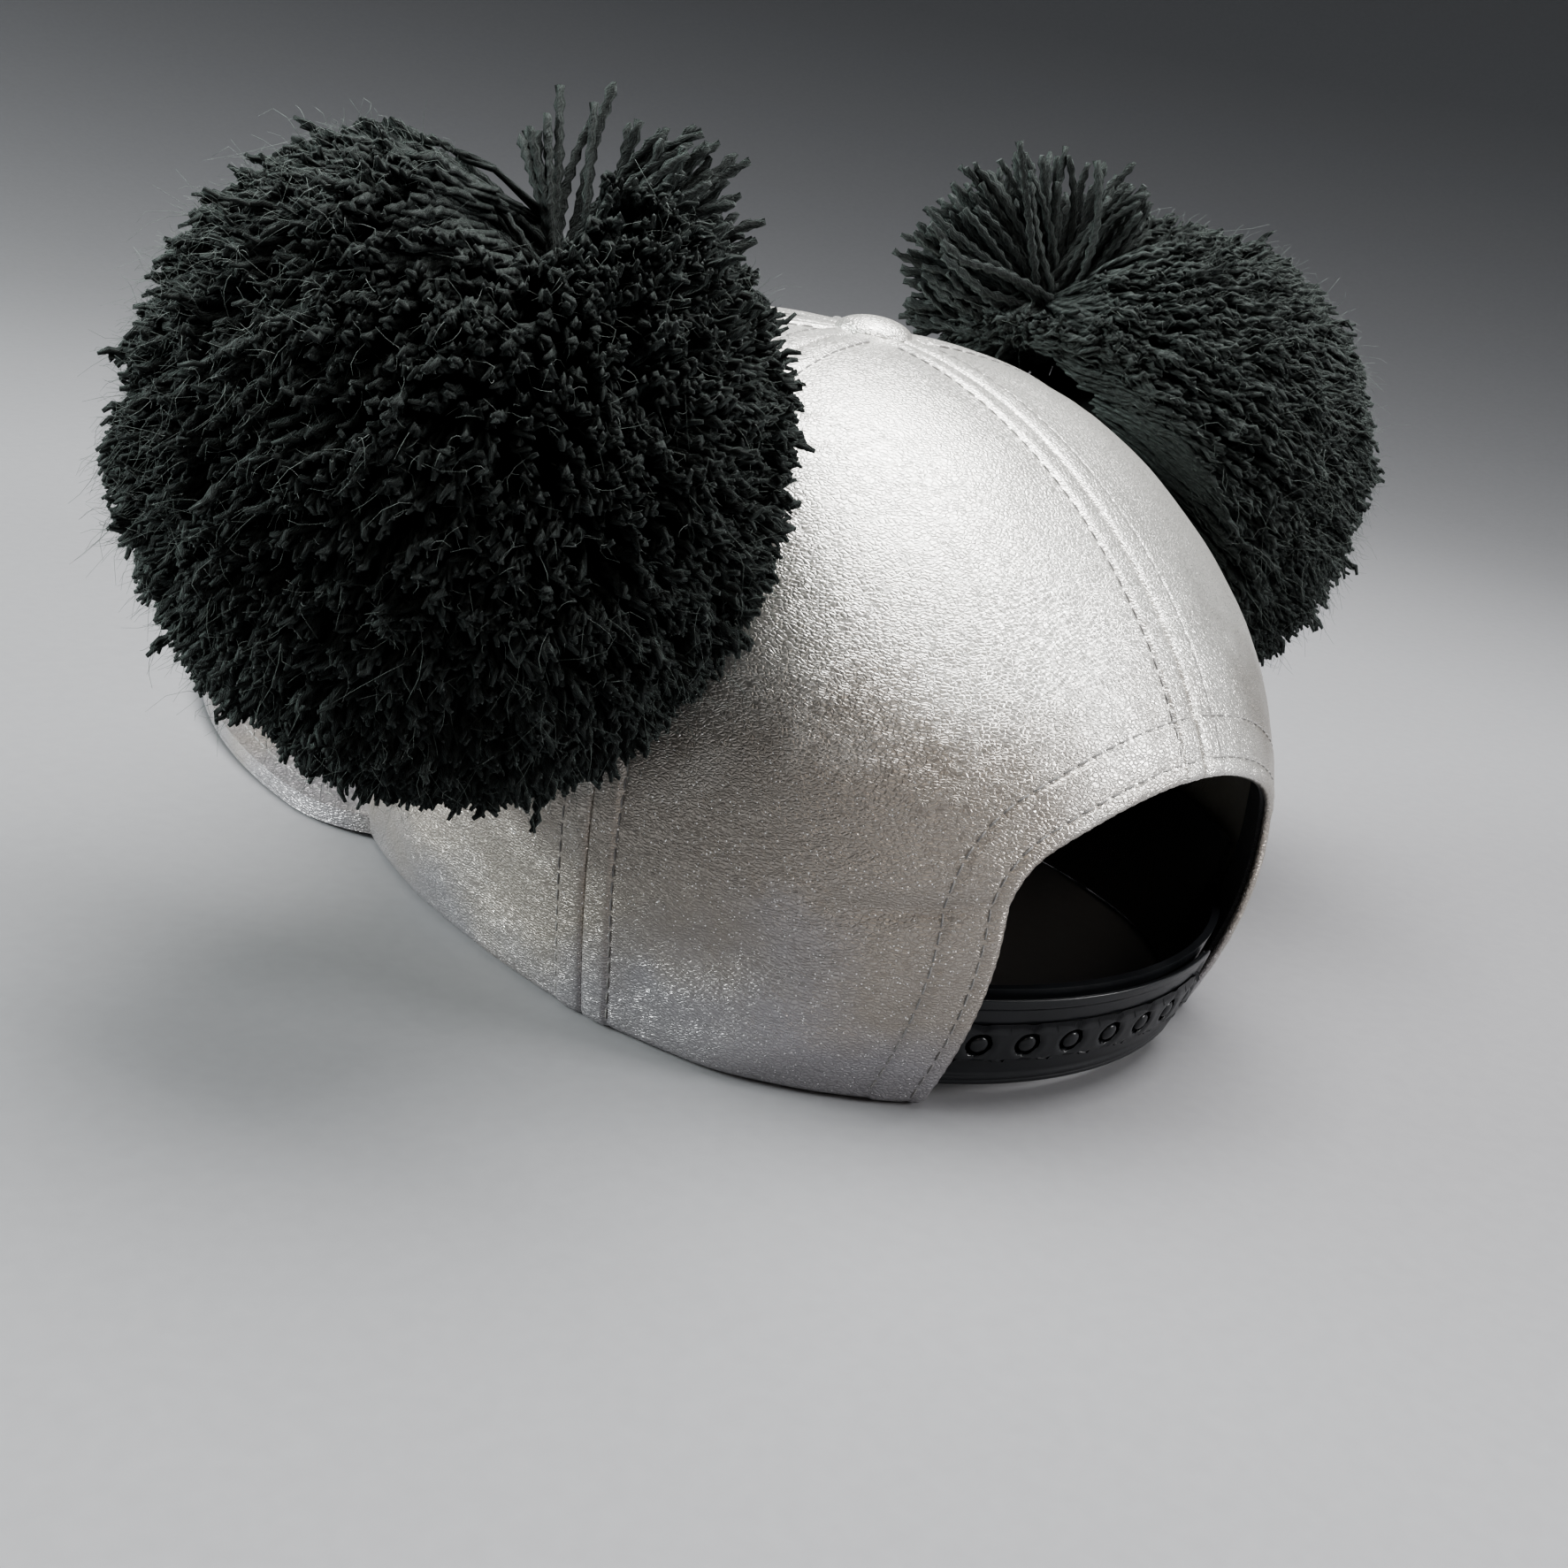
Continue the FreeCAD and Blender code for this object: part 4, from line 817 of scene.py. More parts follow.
def visorLine(inset):
    # the visor's outline drawn in by the inset: a quarter ellipse behind the widest line, a long
    # side arc and a round tip that meets it smoothly, then the same mirrored
    half, tip = visor["halfWidth"] - inset, visor["tipRadius"] - inset
    tipMiddle = visor["tipRadius"] - visor["widest"] - visor["reach"]
    drop = -visor["widest"] - tipMiddle
    side = (drop ** 2 + half ** 2 - tip ** 2) / (2 * (half - tip))
    meet = np.arctan2(drop, side - half)
    turn = np.linspace(np.pi / 2, 0, 300)
    parts = [(half * np.cos(turn), (visor["tuck"] - inset) * np.sin(turn) - visor["widest"])]
    turn = np.linspace(0, -meet, 300)
    parts.append((half - side + side * np.cos(turn), side * np.sin(turn) - visor["widest"]))
    turn = np.linspace(-meet, -np.pi / 2, 300)
    parts.append((tip * np.cos(turn), tipMiddle + tip * np.sin(turn)))
    right = np.concatenate([np.stack(part, -1) for part in parts])
    flat = np.concatenate([right, right[-2::-1] * np.array([-1, 1])])
    rim = (np.abs(flat[:, 0]) / (crown["halfWidth"] * (1 - crown["sideTaper"]))) ** crown["planFullness"] \
        + (np.abs(flat[:, 1]) / crown["frontLength"]) ** crown["planFullness"]
    return flat[rim > visor["clear"] ** 2]


def visorStitches(inset):
    # stitches lie along the row on the upper face, which is part of a cylinder along the middle
    line = visorLine(inset)
    gone = np.concatenate([[0], np.cumsum(np.linalg.norm(np.diff(line, axis=0), axis=1))])
    count = int(gone[-1] / visor["stitch"])
    at = (np.arange(count)[:, None] + stitchShares) * gone[-1] / count
    x, y = np.interp(at, gone, line[:, 0]), np.interp(at, gone, line[:, 1])
    curve = (visor["halfWidth"] ** 2 + visor["arch"] ** 2) / (2 * visor["arch"])
    top = visor["arch"] - curve + np.sqrt((curve + visor["thickness"]) ** 2 - x ** 2)
    return np.stack([x, y, top + stitchHeights], -1)


print("stitching the visor")
points, faces, uvs = tubes(np.concatenate([visorStitches(row) for row in visor["rows"]]),
                           visor["thread"] * stitchRadii, 5)
visorStitching = addPiece("visorStitching", points, faces, finish["thread"])
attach(visorStitching, "crown")


# snap strap

strap = {
    "centre": 13.789, "low": 3.2, "width": 18.8, "lowRadius": 69.25, "slope": 0.24877, "toAngle": 0.795775,
    "root": 42.284, "first": 28.589, "end": -20.908, "fold": 31.749,
    "pitch": 9.3, "count": 7, "hole": 2.8, "thickness": 1.5, "endRadius": 6.0,
    "rim": (1.7, 2.5), "recess": 0.45,     # where the raised rim starts to fall and where it ends
    "line": 13.0, "lineEnd": 2.5,          # thin raised line: height, and distance from the free end
    "holeBand": (6.0, 12.6),
    "border": (0.6, 0.30),                 # width and depth of the rounded border
    "lineRise": 0.26, "grooveDip": 0.22, "holeDip": 0.20,
    "rootSteps": 19, "blockSteps": 16,     # grid steps before the holes and along one hole's block
}


def strapPoint(u, v, lift=0.0):
    # u runs along the strap from its root, v up it; the face is a cone about an upright axis
    turn = np.radians(strap["root"] - u * strap["toAngle"])
    radial = np.stack([np.sin(turn), np.cos(turn), np.zeros_like(turn)], -1)
    lean = np.arctan(strap["slope"])
    out = radial * np.cos(lean) - np.array([0, 0, 1]) * np.sin(lean)
    reach = strap["lowRadius"] + strap["slope"] * v
    middle = np.stack([0 * v, 0 * v + strap["centre"], v + strap["low"]], -1)
    return middle + radial * reach[..., None] + out * np.asarray(lift)[..., None]


def strapLength():
    return (strap["root"] - strap["end"]) / strap["toAngle"]


def holePlaces():
    start = (strap["root"] - strap["first"]) / strap["toAngle"]
    return start + strap["pitch"] * np.arange(strap["count"]), strap["width"] / 2


def roundedDistance(u, v, end, low, high, radius):
    # how far inside a band with a rounded free end a point lies
    qx = u - (end - radius)
    qy = np.abs(v - (low + high) / 2) - ((high - low) / 2 - radius)
    outside = np.hypot(np.maximum(qx, 0), np.maximum(qy, 0)) + np.minimum(np.maximum(qx, qy), 0) - radius
    return -outside


def strapLift(u, v):
    # rounded border, raised rim, sunk field, a thin line round the field, a double lower edge
    inside = np.maximum(roundedDistance(u, v, strapLength(), 0, strap["width"], strap["endRadius"]), 0)
    borderWidth, borderDepth = strap["border"]
    lift = -borderDepth * (1 - np.sqrt(1 - (1 - np.minimum(inside / borderWidth, 1)) ** 2))
    lift = lift - strap["recess"] * ease(inside, *strap["rim"])
    line = roundedDistance(u, v, strapLength() - strap["lineEnd"], -20, strap["line"], 3.4)
    lift = lift + strap["lineRise"] * np.exp(-(line / 0.26) ** 2) * ease(v, 1.6, 3.0)
    lift = lift - strap["grooveDip"] * np.exp(-((v - 1.05) / 0.15) ** 2) * ease(strapLength() - u, 3.0, 6.0)
    places, middle = holePlaces()
    fromHole = np.min(np.hypot(u[..., None] - places, v[..., None] - middle), -1) - strap["hole"]
    return lift - strap["holeDip"] * (1 - ease(fromHole, 0.0, 0.35)) \
        + 0.05 * np.exp(-((fromHole - 0.7) / 0.3) ** 2)


def holeStrap():
    # a grid of the whole band; round each hole a square block gives way to rings that turn
    # from the square's border into the hole's circle
    places, middle = holePlaces()
    half, length = strap["pitch"] / 2, strapLength()
    low, high = strap["holeBand"]
    rootSteps, steps = strap["rootSteps"], strap["blockSteps"]
    blocks = np.linspace(places[0] - half, places[-1] + half, steps * strap["count"] + 1)
    us = np.concatenate([np.linspace(0, places[0] - half, rootSteps + 1)[:-1], blocks,
                         np.linspace(places[-1] + half, length, 10)[1:]])
    edge = np.array([0, 0.1, 0.22, 0.38, 0.58, 0.8, 0.92, 1.05, 1.18, 1.3, 1.55, 1.8, 2.05, 2.3, 2.6])
    vs = np.concatenate([edge, np.linspace(3.2, low, 5), np.linspace(low, high, 13)[1:],
                         [12.75, 12.9, 13.05, 13.2, 13.4, 13.8, 14.6, 15.4], strap["width"] - edge[::-1]])
    u, v = np.meshgrid(us, vs, indexing="ij")
    # near the free end the rows above and below the holes are drawn in to the rounded corners
    inset = strap["endRadius"] - np.sqrt(np.maximum(strap["endRadius"] ** 2 - np.clip(
        strap["endRadius"] - np.minimum(v, strap["width"] - v), 0, strap["endRadius"]) ** 2, 0))
    band = np.where((v >= low) & (v <= high), 1.2, 1.75 + 3.0 * np.minimum(np.abs(v - low), np.abs(v - high)))
    u = u - inset * ease(u, length - band - inset * 1.5, length + 1e-6)
    rows, columns = u.shape
    number = np.arange(rows * columns).reshape(rows, columns)
    quads = gridFaces(rows, columns, flip=True)
    r, c = np.divmod(quads.min(1), columns)
    firstRow, lastRow = rootSteps, rootSteps + steps * strap["count"]
    firstColumn = int(np.argmin(np.abs(vs - low)))
    lastColumn = int(np.argmin(np.abs(vs - high)))
    inBlocks = (r >= firstRow) & (r < lastRow) & (c >= firstColumn) & (c < lastColumn)
    faces, flat = [quads[~inBlocks]], [np.stack([u, v], -1).reshape(-1, 2)]
    first = rows * columns
    share = np.array([0.3, 0.55, 0.75, 0.88, 0.95, 1.0])[:, None, None]
    for k, place in enumerate(places):
        a, b = firstRow + steps * k, firstRow + steps * (k + 1)
        border = np.concatenate([number[a:b, firstColumn], number[b, firstColumn:lastColumn],
                                 number[b:a:-1, lastColumn], number[a, lastColumn:firstColumn:-1]])
        square = flat[0][border]
        centre = np.array([place, middle])
        circle = centre + unit(square - centre) * strap["hole"]
        rings = square + (circle - square) * share
        flat.append(rings.reshape(-1, 2))
        many = len(share) * len(border)
        numbers = np.concatenate([border[None], first + np.arange(many).reshape(len(share), -1)])
        after = np.roll(numbers, -1, axis=1)
        faces.append(np.stack([numbers[:-1], numbers[1:], after[1:], after[:-1]], -1).reshape(-1, 4))
        first += many
    flat = np.concatenate(flat)
    points = strapPoint(flat[:, 0], flat[:, 1], strapLift(flat[:, 0], flat[:, 1]))
    piece = addPiece("holeStrap", points, faces, finish["plastic"])
    inner = piece.modifiers.new("wall", "SOLIDIFY")
    inner.thickness, inner.offset = (strap["thickness"] - strap["recess"]) * mm, -1
    settle(piece)
    return piece


def settle(piece):
    # the modifiers' result becomes the mesh
    bpy.context.view_layer.update()
    shape = piece.evaluated_get(bpy.context.evaluated_depsgraph_get())
    old, piece.data = piece.data, bpy.data.meshes.new_from_object(shape)
    piece.modifiers.clear()
    bpy.data.meshes.remove(old)
    piece.data.name = piece.name


print("making the snap strap")
snapStrap = holeStrap()
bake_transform(snapStrap)
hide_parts("hole_strap", "hole_strap_tab")


# pom-poms

pompom = {
    "radius": 53.6, "standoff": 24.3,
    "anchor": (70.275, -4.335, 80.2), "axis": (0.896814, -0.005662, 0.442372),
    "dish": 224.9, "clearance": 2.2,
    "parting": (64.7, -19.7, 117.5),     # where the strands part, above the tie
    "spacing": 2.4,                       # mm between the cut ends
    "plyRadius": 0.70, "plyOffset": 0.42, "fray": 0.35,
    "visibleLength": 24.0,
    "core": 39.0,
    "rings": np.array([24, 13, 8, 4.4, 1.7, 0]),   # mm before the cut end
    "clump": (13.0, 3.4), "tuft": (5.5, 2.3),      # reach and strength of the gathering of cut ends
    "kink": (6.0, 1.5),                   # the same for the strands' own bends
    "longEnds": (0.025, 1.0, 4.5),        # share of strands cut too long, and by how much
    "packed": (34, 66),                   # ends nearer than this to the parting start right at it
    "fanRadius": 0.86,
    "fuzzPerBall": 15000, "fuzzRadii": (0.046, 0.020),
    "ahead": (-0.697, -0.632, -0.339), "across": (-0.706, 0.688, 0.169),
}
ballForms = {
    # flow: the side of the ball whose strands come from the parting, with the strength there and
    # opposite; gap: angles of the open wedge about the parting, measured from upright towards
    # "across"; tufts: middle, spread and number of the long strands about the parting
    "left": {"side": 1, "flow": (0.50, -0.73, 0.33), "far": 1.22, "near": 0.30, "seed": 11,
             "gap": (-34, 33), "shift": (0, 0, 0), "length": 36.0,
             "tufts": ((-61, 7, 150, 43), (-48, 6, 70, 38), (46, 7, 100, 35), (66, 8, 70, 33),
                       (-80, 8, 50, 42)),
             "singles": (-17, -13, -10.5, -7, -3, 9, 13, 18, 22, 5, 2)},
    "right": {"side": -1, "flow": (-0.70, 0.60, 0.10), "far": 1.0, "near": 0.70, "seed": 29,
              "gap": (-100, 24), "shift": (-3, 5, 6), "length": 31.0,
              "tufts": ((-70, 20, 130, 32), (-28, 17, 120, 33), (34, 10, 60, 32), (8, 10, 20, 32)),
              "singles": (-8, -3, 2, 4, 12, -95, -88)},
}


def evenDirections(count, rng):
    # golden-angle spiral over a sphere, each direction nudged at random
    i = np.arange(count) + 0.5
    level, turn = 1 - 2 * i / count, i * np.pi * (3 - np.sqrt(5))
    flat = np.sqrt(1 - level ** 2)
    way = np.stack([flat * np.cos(turn), flat * np.sin(turn), level], -1)
    return unit(way + rng.normal(0, 0.30 * np.sqrt(4 * np.pi / count), (count, 3)))


def clearOfDish(points, dishCentre, dishRadius, room):
    # points that would lie inside the dished face are pushed straight out to it
    away = points - dishCentre
    distance = np.linalg.norm(away, axis=-1, keepdims=True)
    return dishCentre + away * np.maximum(1, (dishRadius + room[..., None]) / distance)


def ballFrame(form):
    # centre of the ball, parting, and centre of the sphere that hollows its inner face
    mirror = np.array([form["side"], 1, 1])
    anchor, axis = np.array(pompom["anchor"]) * mirror, np.array(pompom["axis"]) * mirror
    return (anchor + axis * pompom["standoff"],
            np.array(pompom["parting"]) * mirror + np.array(form["shift"]) * mirror,
            anchor + axis * (pompom["clearance"] - pompom["dish"]))


def softPush(points, reach, seed):
    # a smooth random push along x, y and z
    return np.stack([softNoise(points, reach, seed + k) for k in range(3)], -1)


def partingFrame():
    # sideways, upwards and outwards at the parting
    ahead = unit(np.array(pompom["ahead"]))
    across = np.array(pompom["across"])
    across = unit(across - ahead * (across @ ahead))
    return across, np.cross(across, ahead), -ahead


def strandEnds(form, rng):
    # each strand's origin between the centre and the parting, and its cut end on the ball
    centre, parting = ballFrame(form)[:2]
    count = int(4 * np.pi * pompom["radius"] ** 2 / pompom["spacing"] ** 2 / 0.92)
    way = evenDirections(count, rng)
    tip = centre + way * pompom["radius"]
    close = 1 - ease(np.linalg.norm(tip - parting, axis=-1), *pompom["packed"])
    flow = ease(way @ unit(np.array(form["flow"])), -0.75, 0.35)
    share = form["near"] + (form["far"] - form["near"]) * flow
    share = np.maximum(share, close) * (1 + 0.10 * softNoise(tip, 20.0, form["seed"] + 9))
    origin = centre + share[:, None] * (parting - centre)
    (clumpReach, clump), (tuftReach, tuft) = pompom["clump"], pompom["tuft"]
    tip = tip + softPush(tip, clumpReach, form["seed"]) * clump \
        + softPush(tip, tuftReach, form["seed"] + 3) * tuft + rng.normal(0, 0.5, tip.shape)
    longShare, least, most = pompom["longEnds"]
    cut = pompom["radius"] + 1.5 * softNoise(tip, 10.0, form["seed"] + 7) + rng.normal(0, 0.9, count) \
        + np.where(rng.random(count) < longShare, rng.uniform(least, most, count), 0)
    return origin, centre + unit(tip - centre) * cut[:, None]


def openParting(origin, tip, form, rng):
    # no cut ends stand in the parting, an open wedge above the tie, or in the hollow before it:
    # strands that would end there are cut shorter, and very short ones are left out
    parting, dishCentre = ballFrame(form)[1:]
    across, up, outward = partingFrame()
    kept = np.zeros(len(tip))
    for share in np.linspace(1, 0.25, 46):
        offset = origin + (tip - origin) * share - parting
        aside, above, before = offset @ across, offset @ up, offset @ outward
        lean, far = np.degrees(np.arctan2(aside, above)), np.hypot(aside, above)
        inside = (lean > form["gap"][0]) & (lean < form["gap"][1]) & (far > 2) & (far < 60)
        inside |= ((before > -4) & (far < 11)) | ((before > -14) & (far < 30) & (np.abs(lean) < 70))
        kept = np.where((kept == 0) & ~inside, share, kept)
    kept = np.where(kept < 1, kept - rng.uniform(0, 0.14, len(tip)), kept)
    keep = (kept > 0.1) & (np.linalg.norm(tip - dishCentre, axis=-1) > pompom["dish"] - 15)
    return origin[keep], (origin + (tip - origin) * kept[:, None])[keep]


def ballStrands(form):
    # the visible end of each strand, a slightly bowed and kinked line, as two plies wound round it
    rng = np.random.default_rng(form["seed"])
    dishCentre = ballFrame(form)[2]
    origin, tip = openParting(*strandEnds(form, rng), form, rng)
    length = np.linalg.norm(tip - origin, axis=-1)
    reach = np.minimum(length, pompom["visibleLength"] * rng.uniform(0.95, 1.05, len(tip)))
    s = 1 - pompom["rings"] / pompom["rings"][0]
    back = unit(origin - tip)
    bow = np.cross(back, rng.normal(0, 1, back.shape)) * (0.5 + 0.6 * rng.random(len(back)))[:, None]
    paths = tip[:, None] + back[:, None] * (reach[:, None] * (1 - s)[None, :])[..., None] \
        + bow[:, None] * (4 * s * (1 - s))[None, :, None]
    kinkReach, kink = pompom["kink"]
    paths = paths + softPush(paths, kinkReach, form["seed"] + 20) * (kink * s)[None, :, None] \
        + rng.normal(0, 0.13, paths.shape)
    # two plies wind round each strand and stand apart at the cut end
    phase = rng.uniform(0, fullTurn, (len(tip), 1)) + pompom["rings"] * fullTurn / (2 * yarn["plyPitch"])
    first = unit(np.cross(back, np.array([0.3, 0.2, 0.93])))[:, None]
    second = np.cross(back[:, None], first)
    apart = pompom["plyOffset"] + pompom["fray"] * s ** 6 * rng.uniform(0.2, 1.3, (len(tip), 1))
    offset = (np.cos(phase) * apart)[..., None] * first + (np.sin(phase) * apart)[..., None] * second
    trim = back[:, None] * (s ** 8 * rng.uniform(0, 1.8, (len(tip), 1)))[..., None]
    paths = np.concatenate([paths + offset, paths - offset + trim])
    room = 0.8 + rng.uniform(0, 1, len(paths)) ** 1.5 * 5.0
    return clearOfDish(paths, dishCentre, pompom["dish"], np.repeat(room[:, None], len(s), 1)), rng


def fanStrands(form, rng):
    # long strands that stand in tufts about the parting, with a few single ones between
    centre, parting, dishCentre = ballFrame(form)
    across, up, outward = partingFrame()
    lean = np.concatenate([rng.normal(m, spreadOut, n) for m, spreadOut, n, far in form["tufts"]]
                          + [form["singles"]])
    count, alone = len(lean), len(form["singles"])
    size = np.concatenate([np.full(n, far) for m, spreadOut, n, far in form["tufts"]]
                          + [np.full(alone, form["length"])])
    lean = np.radians(lean)
    depth = np.radians(np.concatenate([rng.uniform(-36, 22, count - alone), rng.uniform(-16, 8, alone)]))
    way = (np.sin(lean) * np.cos(depth))[:, None] * across + (np.cos(lean) * np.cos(depth))[:, None] * up \
        + np.sin(depth)[:, None] * outward
    length = size * rng.uniform(0.84, 1.06, count)
    start = parting - unit(parting - centre) * rng.uniform(0, 4, count)[:, None] \
        + rng.normal(0, 1.7, (count, 3))
    s = np.linspace(0, 1, 22)
    bow = np.cross(way, rng.normal(0, 1, way.shape)) * 1.5
    paths = start[:, None] + way[:, None] * (length[:, None] * s[None, :])[..., None] \
        + bow[:, None] * (4 * s * (1 - s))[None, :, None]
    room = 0.8 + rng.uniform(0, 1, count) * 4.0
    return clearOfDish(paths, dishCentre, pompom["dish"], np.repeat(room[:, None], len(s), 1))


def fuzzFibres(paths, form, rng):
    # fine loose fibres that leave the strands near their ends and curl; most on the flow's side
    count = pompom["fuzzPerBall"]
    centre, dishCentre = ballFrame(form)[::2]
    side = unit(paths[:, -1] - centre) @ unit(np.array(form["flow"]))
    weight = 0.5 + 1.2 * ease(side, -0.1, 0.9)
    chosen = rng.choice(len(paths), count, p=weight / weight.sum())
    index = rng.integers(2, paths.shape[1] - 1, count)
    step = paths[chosen, index + 1] - paths[chosen, index]
    start = paths[chosen, index] + step * rng.random(count)[:, None]
    ahead = unit(step)
    way = unit(ahead + rng.normal(0, 0.65, (count, 3)))
    length = np.minimum(rng.gamma(1.5, 1.3, count) + 1.3, 12)
    curl, second = np.cross(way, rng.normal(0, 1, (count, 3))), rng.normal(0, 1, (count, 3))
    s = np.linspace(0, 1, 4)[None, :, None]
    size = length[:, None, None]
    path = start[:, None] + way[:, None] * s * size + curl[:, None] * np.sin(s * 2.2) * 0.25 * size \
        + second[:, None] * s ** 2 * 0.15 * size + np.array([0, 0, -1.0]) * s ** 2 * 0.15 * size
    return clearOfDish(path, dishCentre, pompom["dish"], np.full(path.shape[:2], 0.6))


def coreShape(form):
    # ball of packed strands behind the visible ends, darker than the yarn as painted shade: a sphere moved
    # away from the parting, flattened where it faces the crown
    centre, parting, dishCentre = ballFrame(form)
    turn, level = np.meshgrid(np.linspace(0, fullTurn, 65)[:-1], np.linspace(0, np.pi, 34), indexing="ij")
    way = np.stack([np.cos(turn) * np.sin(level), np.sin(turn) * np.sin(level), np.cos(level)], -1)
    toward = unit(parting - centre)
    reach = pompom["core"] * (1 - 0.45 * ease(way @ toward, 0.1, 0.95))
    points = centre + way * (reach + 1.2 * softNoise(way * 40, 7.0, form["seed"]))[..., None]
    points = clearOfDish(points, dishCentre, pompom["dish"], np.full(points.shape[:2], 1.5))
    return points.transpose(1, 0, 2)


def makePompom(word):
    form = ballForms[word]
    body, yarnNode = f"{word}_pompom", f"{word}_pompom_yarn"
    paths, rng = ballStrands(form)
    made = []
    for part, some in zip(("StrandsA", "StrandsB", "StrandsC"), np.array_split(paths, 3)):
        steps = some.shape[1]
        radii = pompom["plyRadius"] * rng.uniform(0.8, 1.15, (len(some), 1)) \
            * rng.uniform(0.85, 1.12, (len(some), steps)) \
            * np.append(np.ones(steps - 2), (0.95, 0.55))[None, :]
        points, faces, uvs = tubes(some, radii, 3)
        # random tone for each strand; the last ring is dimmed to 0.7 as painted shade on the cut ends
        tone = rng.uniform(0.35, 1.0, (len(some), 1, 1)) ** 1.3 \
            * np.append(np.ones(steps - 1), 0.7)[None, :, None] * np.ones((1, 1, 3))
        piece = addPiece(f"{word}Pompom{part}", points, faces, finish["yarn"], uvs, {"strandToneAndPaintedEndShade": tone})
        made.append(piece)
        print(word, part, len(some), "strands")
    fan = fanStrands(form, rng)
    radii = pompom["fanRadius"] * rng.uniform(0.88, 1.08, (len(fan), 1)) \
        * np.append(np.ones(fan.shape[1] - 1), 0.8)[None, :]
    points, faces, uvs = tubes(fan, radii, 4, twist=np.pi / yarn["plyPitch"], oval=0.30)
    # the fan strands' tone varies at random, kept in a lighter range than the other strands' as painted light
    tone = np.repeat(rng.uniform(0.6, 1.0, len(fan)), fan.shape[1] * 4)
    made.append(addPiece(f"{word}PompomFan", points, faces, finish["yarn"], uvs, {"strandToneAndPaintedEndShade": tone}))
    fibres = fuzzFibres(paths, form, rng)
    # the fuzz fibres take the painted pale colour of backlit fibres
    for part, some in zip(("FuzzA", "FuzzB"), np.array_split(fibres, 2)):
        radii = np.linspace(*pompom["fuzzRadii"], some.shape[1])[None, :]
        points, faces, uvs = tubes(some, radii, 3)
        made.append(addPiece(f"{word}Pompom{part}", points, faces, finish["paintedLitFuzz"]))
    grid = coreShape(form)
    rows, columns = grid.shape[:2]
    made.append(addPiece(f"{word}PompomCore", grid.reshape(-1, 3), [gridFaces(rows, columns, closed=True)],
                         finish["core"], merge=True))
    for piece in made:
        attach(piece, body)
    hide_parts(yarnNode)
    return made


for word in ballForms:
    print("making the", word, "pom-pom")
    makePompom(word)


# the plainer parts keep their own shape and get a finish

keptFinishes = {
    "button_cover": "leather", "button_shell": "metal", "button_prong": "metal",
    "visor_top_cover": "leather", "visor_under_cover": "leather", "visor_board": "board",
    "peg_strap": "plastic",
    "sweatband": "sweatband", "opening_facing": "tape",
}
for name, piece in nodes.items():
    key = keptFinishes.get(name)
    if key is None:
        key = ("tape" if name.endswith("seam_tape") else "buckram" if name.endswith("buckram")
               else "cord" if name.split("_")[-1] in ("tie", "shank", "knot") else "leather")
    if not piece.data.materials:
        piece.data.materials.append(finish[key])
    for index in range(len(piece.data.materials)):
        piece.data.materials[index] = finish[key]


# floor, light and camera

studio = {
    "floor": (0.26, 0.26, 0.272),
    "wall": (0.085, 0.085, 0.092),
    "sky": (0.16, 0.16, 0.17),
    "skyStrength": 0.6,
    "lens": 42.0,
    "eye": (0.2673, 0.2337, 0.1525),
    "ahead": (-0.697, -0.632, -0.339),
    "right": (-0.706, 0.688, 0.169),
    "flat": 0.7, "curve": 1.3,     # m from the middle to the floor's bend, and the bend's radius
    "floorGap": 0.4,               # mm between the rim and the floor
}
# place, target, width, height, watts and colour
lights = {
    "overheadLight": ((-0.12, -0.02, 0.80), (0, 0.02, 0.06), 0.75, 0.55, 13.5, (1.0, 0.995, 0.98)),
    "leftLight": ((1.20, -0.99, 0.48), (0, 0, 0.05), 0.8, 0.95, 66.0, (0.94, 1.0, 0.98)),
    "rightLight": ((-0.50, 0.85, 0.45), (0, 0, 0.07), 0.26, 0.26, 8.0, (1, 1, 1)),
    "warmLight": ((0.75, 0.95, 0.70), (0, 0.05, 0.06), 0.5, 0.4, 1.6, (1.0, 0.90, 0.80)),
}
floorMaterial, tree, shader = newMaterial("paleFloor", studio["floor"], 0.8)
ground = node(tree, "ShaderNodeTexNoise", at={"Vector": objectCoords(tree), "Scale": 300.0, "Detail": 3.0})
away = node(tree, "ShaderNodeVectorMath", operation="LENGTH")
tree.links.new(objectCoords(tree), away.inputs[0])
fade = maths(tree, "MULTIPLY_ADD", away.outputs["Value"], 0.75, -0.28)
plain = ramp(tree, fade, [(0.0, studio["floor"]), (0.85, studio["wall"])])
speck = ramp(tree, ground.outputs["Fac"], [(0.3, (0.95, 0.95, 0.95)), (0.7, (1, 1, 1))])
tree.links.new(mixColour(tree, 1.0, plain, speck, "MULTIPLY"), shader.inputs["Base Color"])
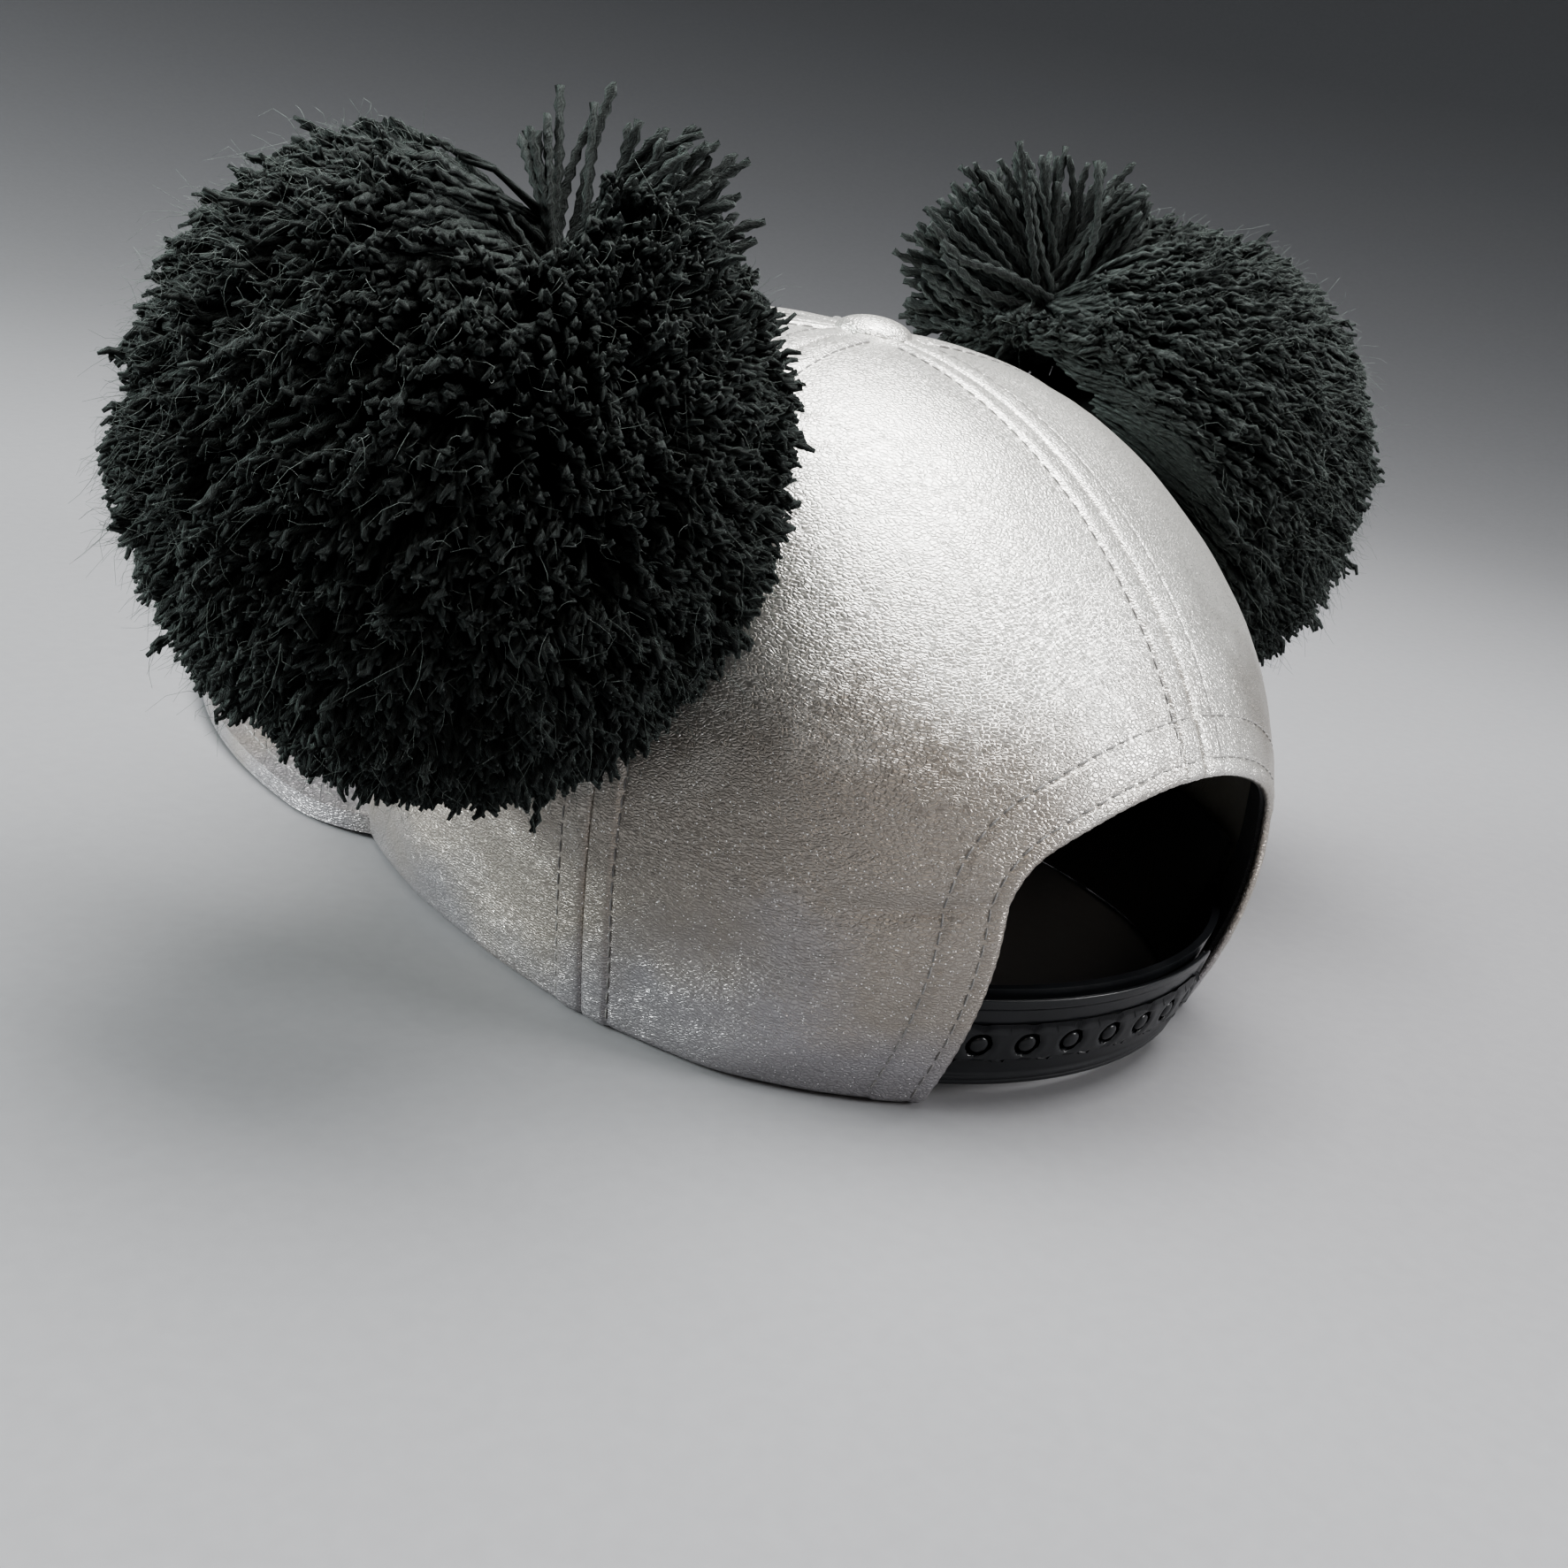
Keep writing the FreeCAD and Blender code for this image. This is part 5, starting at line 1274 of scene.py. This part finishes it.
# a flat disc whose border curves up into a wall: radius and height follow a quarter circle
turn = np.linspace(0, fullTurn, 97)[:-1]
bend = np.linspace(0, np.pi / 2, 24)[1:]
flat, curve = studio["flat"], studio["curve"]
radius = np.concatenate([np.linspace(0.01, flat, 12), flat + curve * np.sin(bend),
                         [flat + curve] * 2]) / mm
level = np.concatenate([np.zeros(12), curve * (1 - np.cos(bend)), [1.6, 2.2]]) / mm
points = np.stack([radius[:, None] * np.cos(turn), radius[:, None] * np.sin(turn),
                   np.broadcast_to(level[:, None] - studio["floorGap"], (len(radius), len(turn)))], -1)
floor = addPiece("floor", points.reshape(-1, 3), [gridFaces(len(radius), len(turn), closed=True),
                                                  np.arange(len(turn))[None, ::-1]], floorMaterial)

world = bpy.data.worlds.new("studio")
bpy.context.scene.world = world
world.use_nodes = True
background = world.node_tree.nodes["Background"]
background.inputs[0].default_value = (*studio["sky"], 1)
background.inputs[1].default_value = studio["skyStrength"]


def softbox(name, place, target, width, height, watts, colour):
    # a rectangular lamp that points at the target
    light = bpy.data.lights.new(name, "AREA")
    light.shape, light.size, light.size_y = "RECTANGLE", width, height
    light.energy, light.color = watts, colour
    lamp = bpy.data.objects.new(name, light)
    bpy.context.scene.collection.objects.link(lamp)
    lamp.location = place
    lamp.rotation_euler = (Vector(target) - Vector(place)).to_track_quat("-Z", "Y").to_euler()


for name, values in lights.items():
    softbox(name, *values)

camera = bpy.data.objects.new("camera", bpy.data.cameras.new("camera"))
bpy.context.scene.collection.objects.link(camera)
ahead = Vector(studio["ahead"]).normalized()
right = Vector(studio["right"])
right = (right - ahead * right.dot(ahead)).normalized()
upward = right.cross(ahead)
camera.matrix_world = Matrix((
    (right.x, upward.x, -ahead.x, studio["eye"][0]),
    (right.y, upward.y, -ahead.y, studio["eye"][1]),
    (right.z, upward.z, -ahead.z, studio["eye"][2]),
    (0, 0, 0, 1)))
camera.data.lens, camera.data.sensor_width = studio["lens"], 36.0
camera.data.clip_start, camera.data.clip_end = 0.01, 20
bpy.context.scene.camera = camera
bpy.context.scene.view_settings.look = "AgX - Medium High Contrast"
print("studio ready")
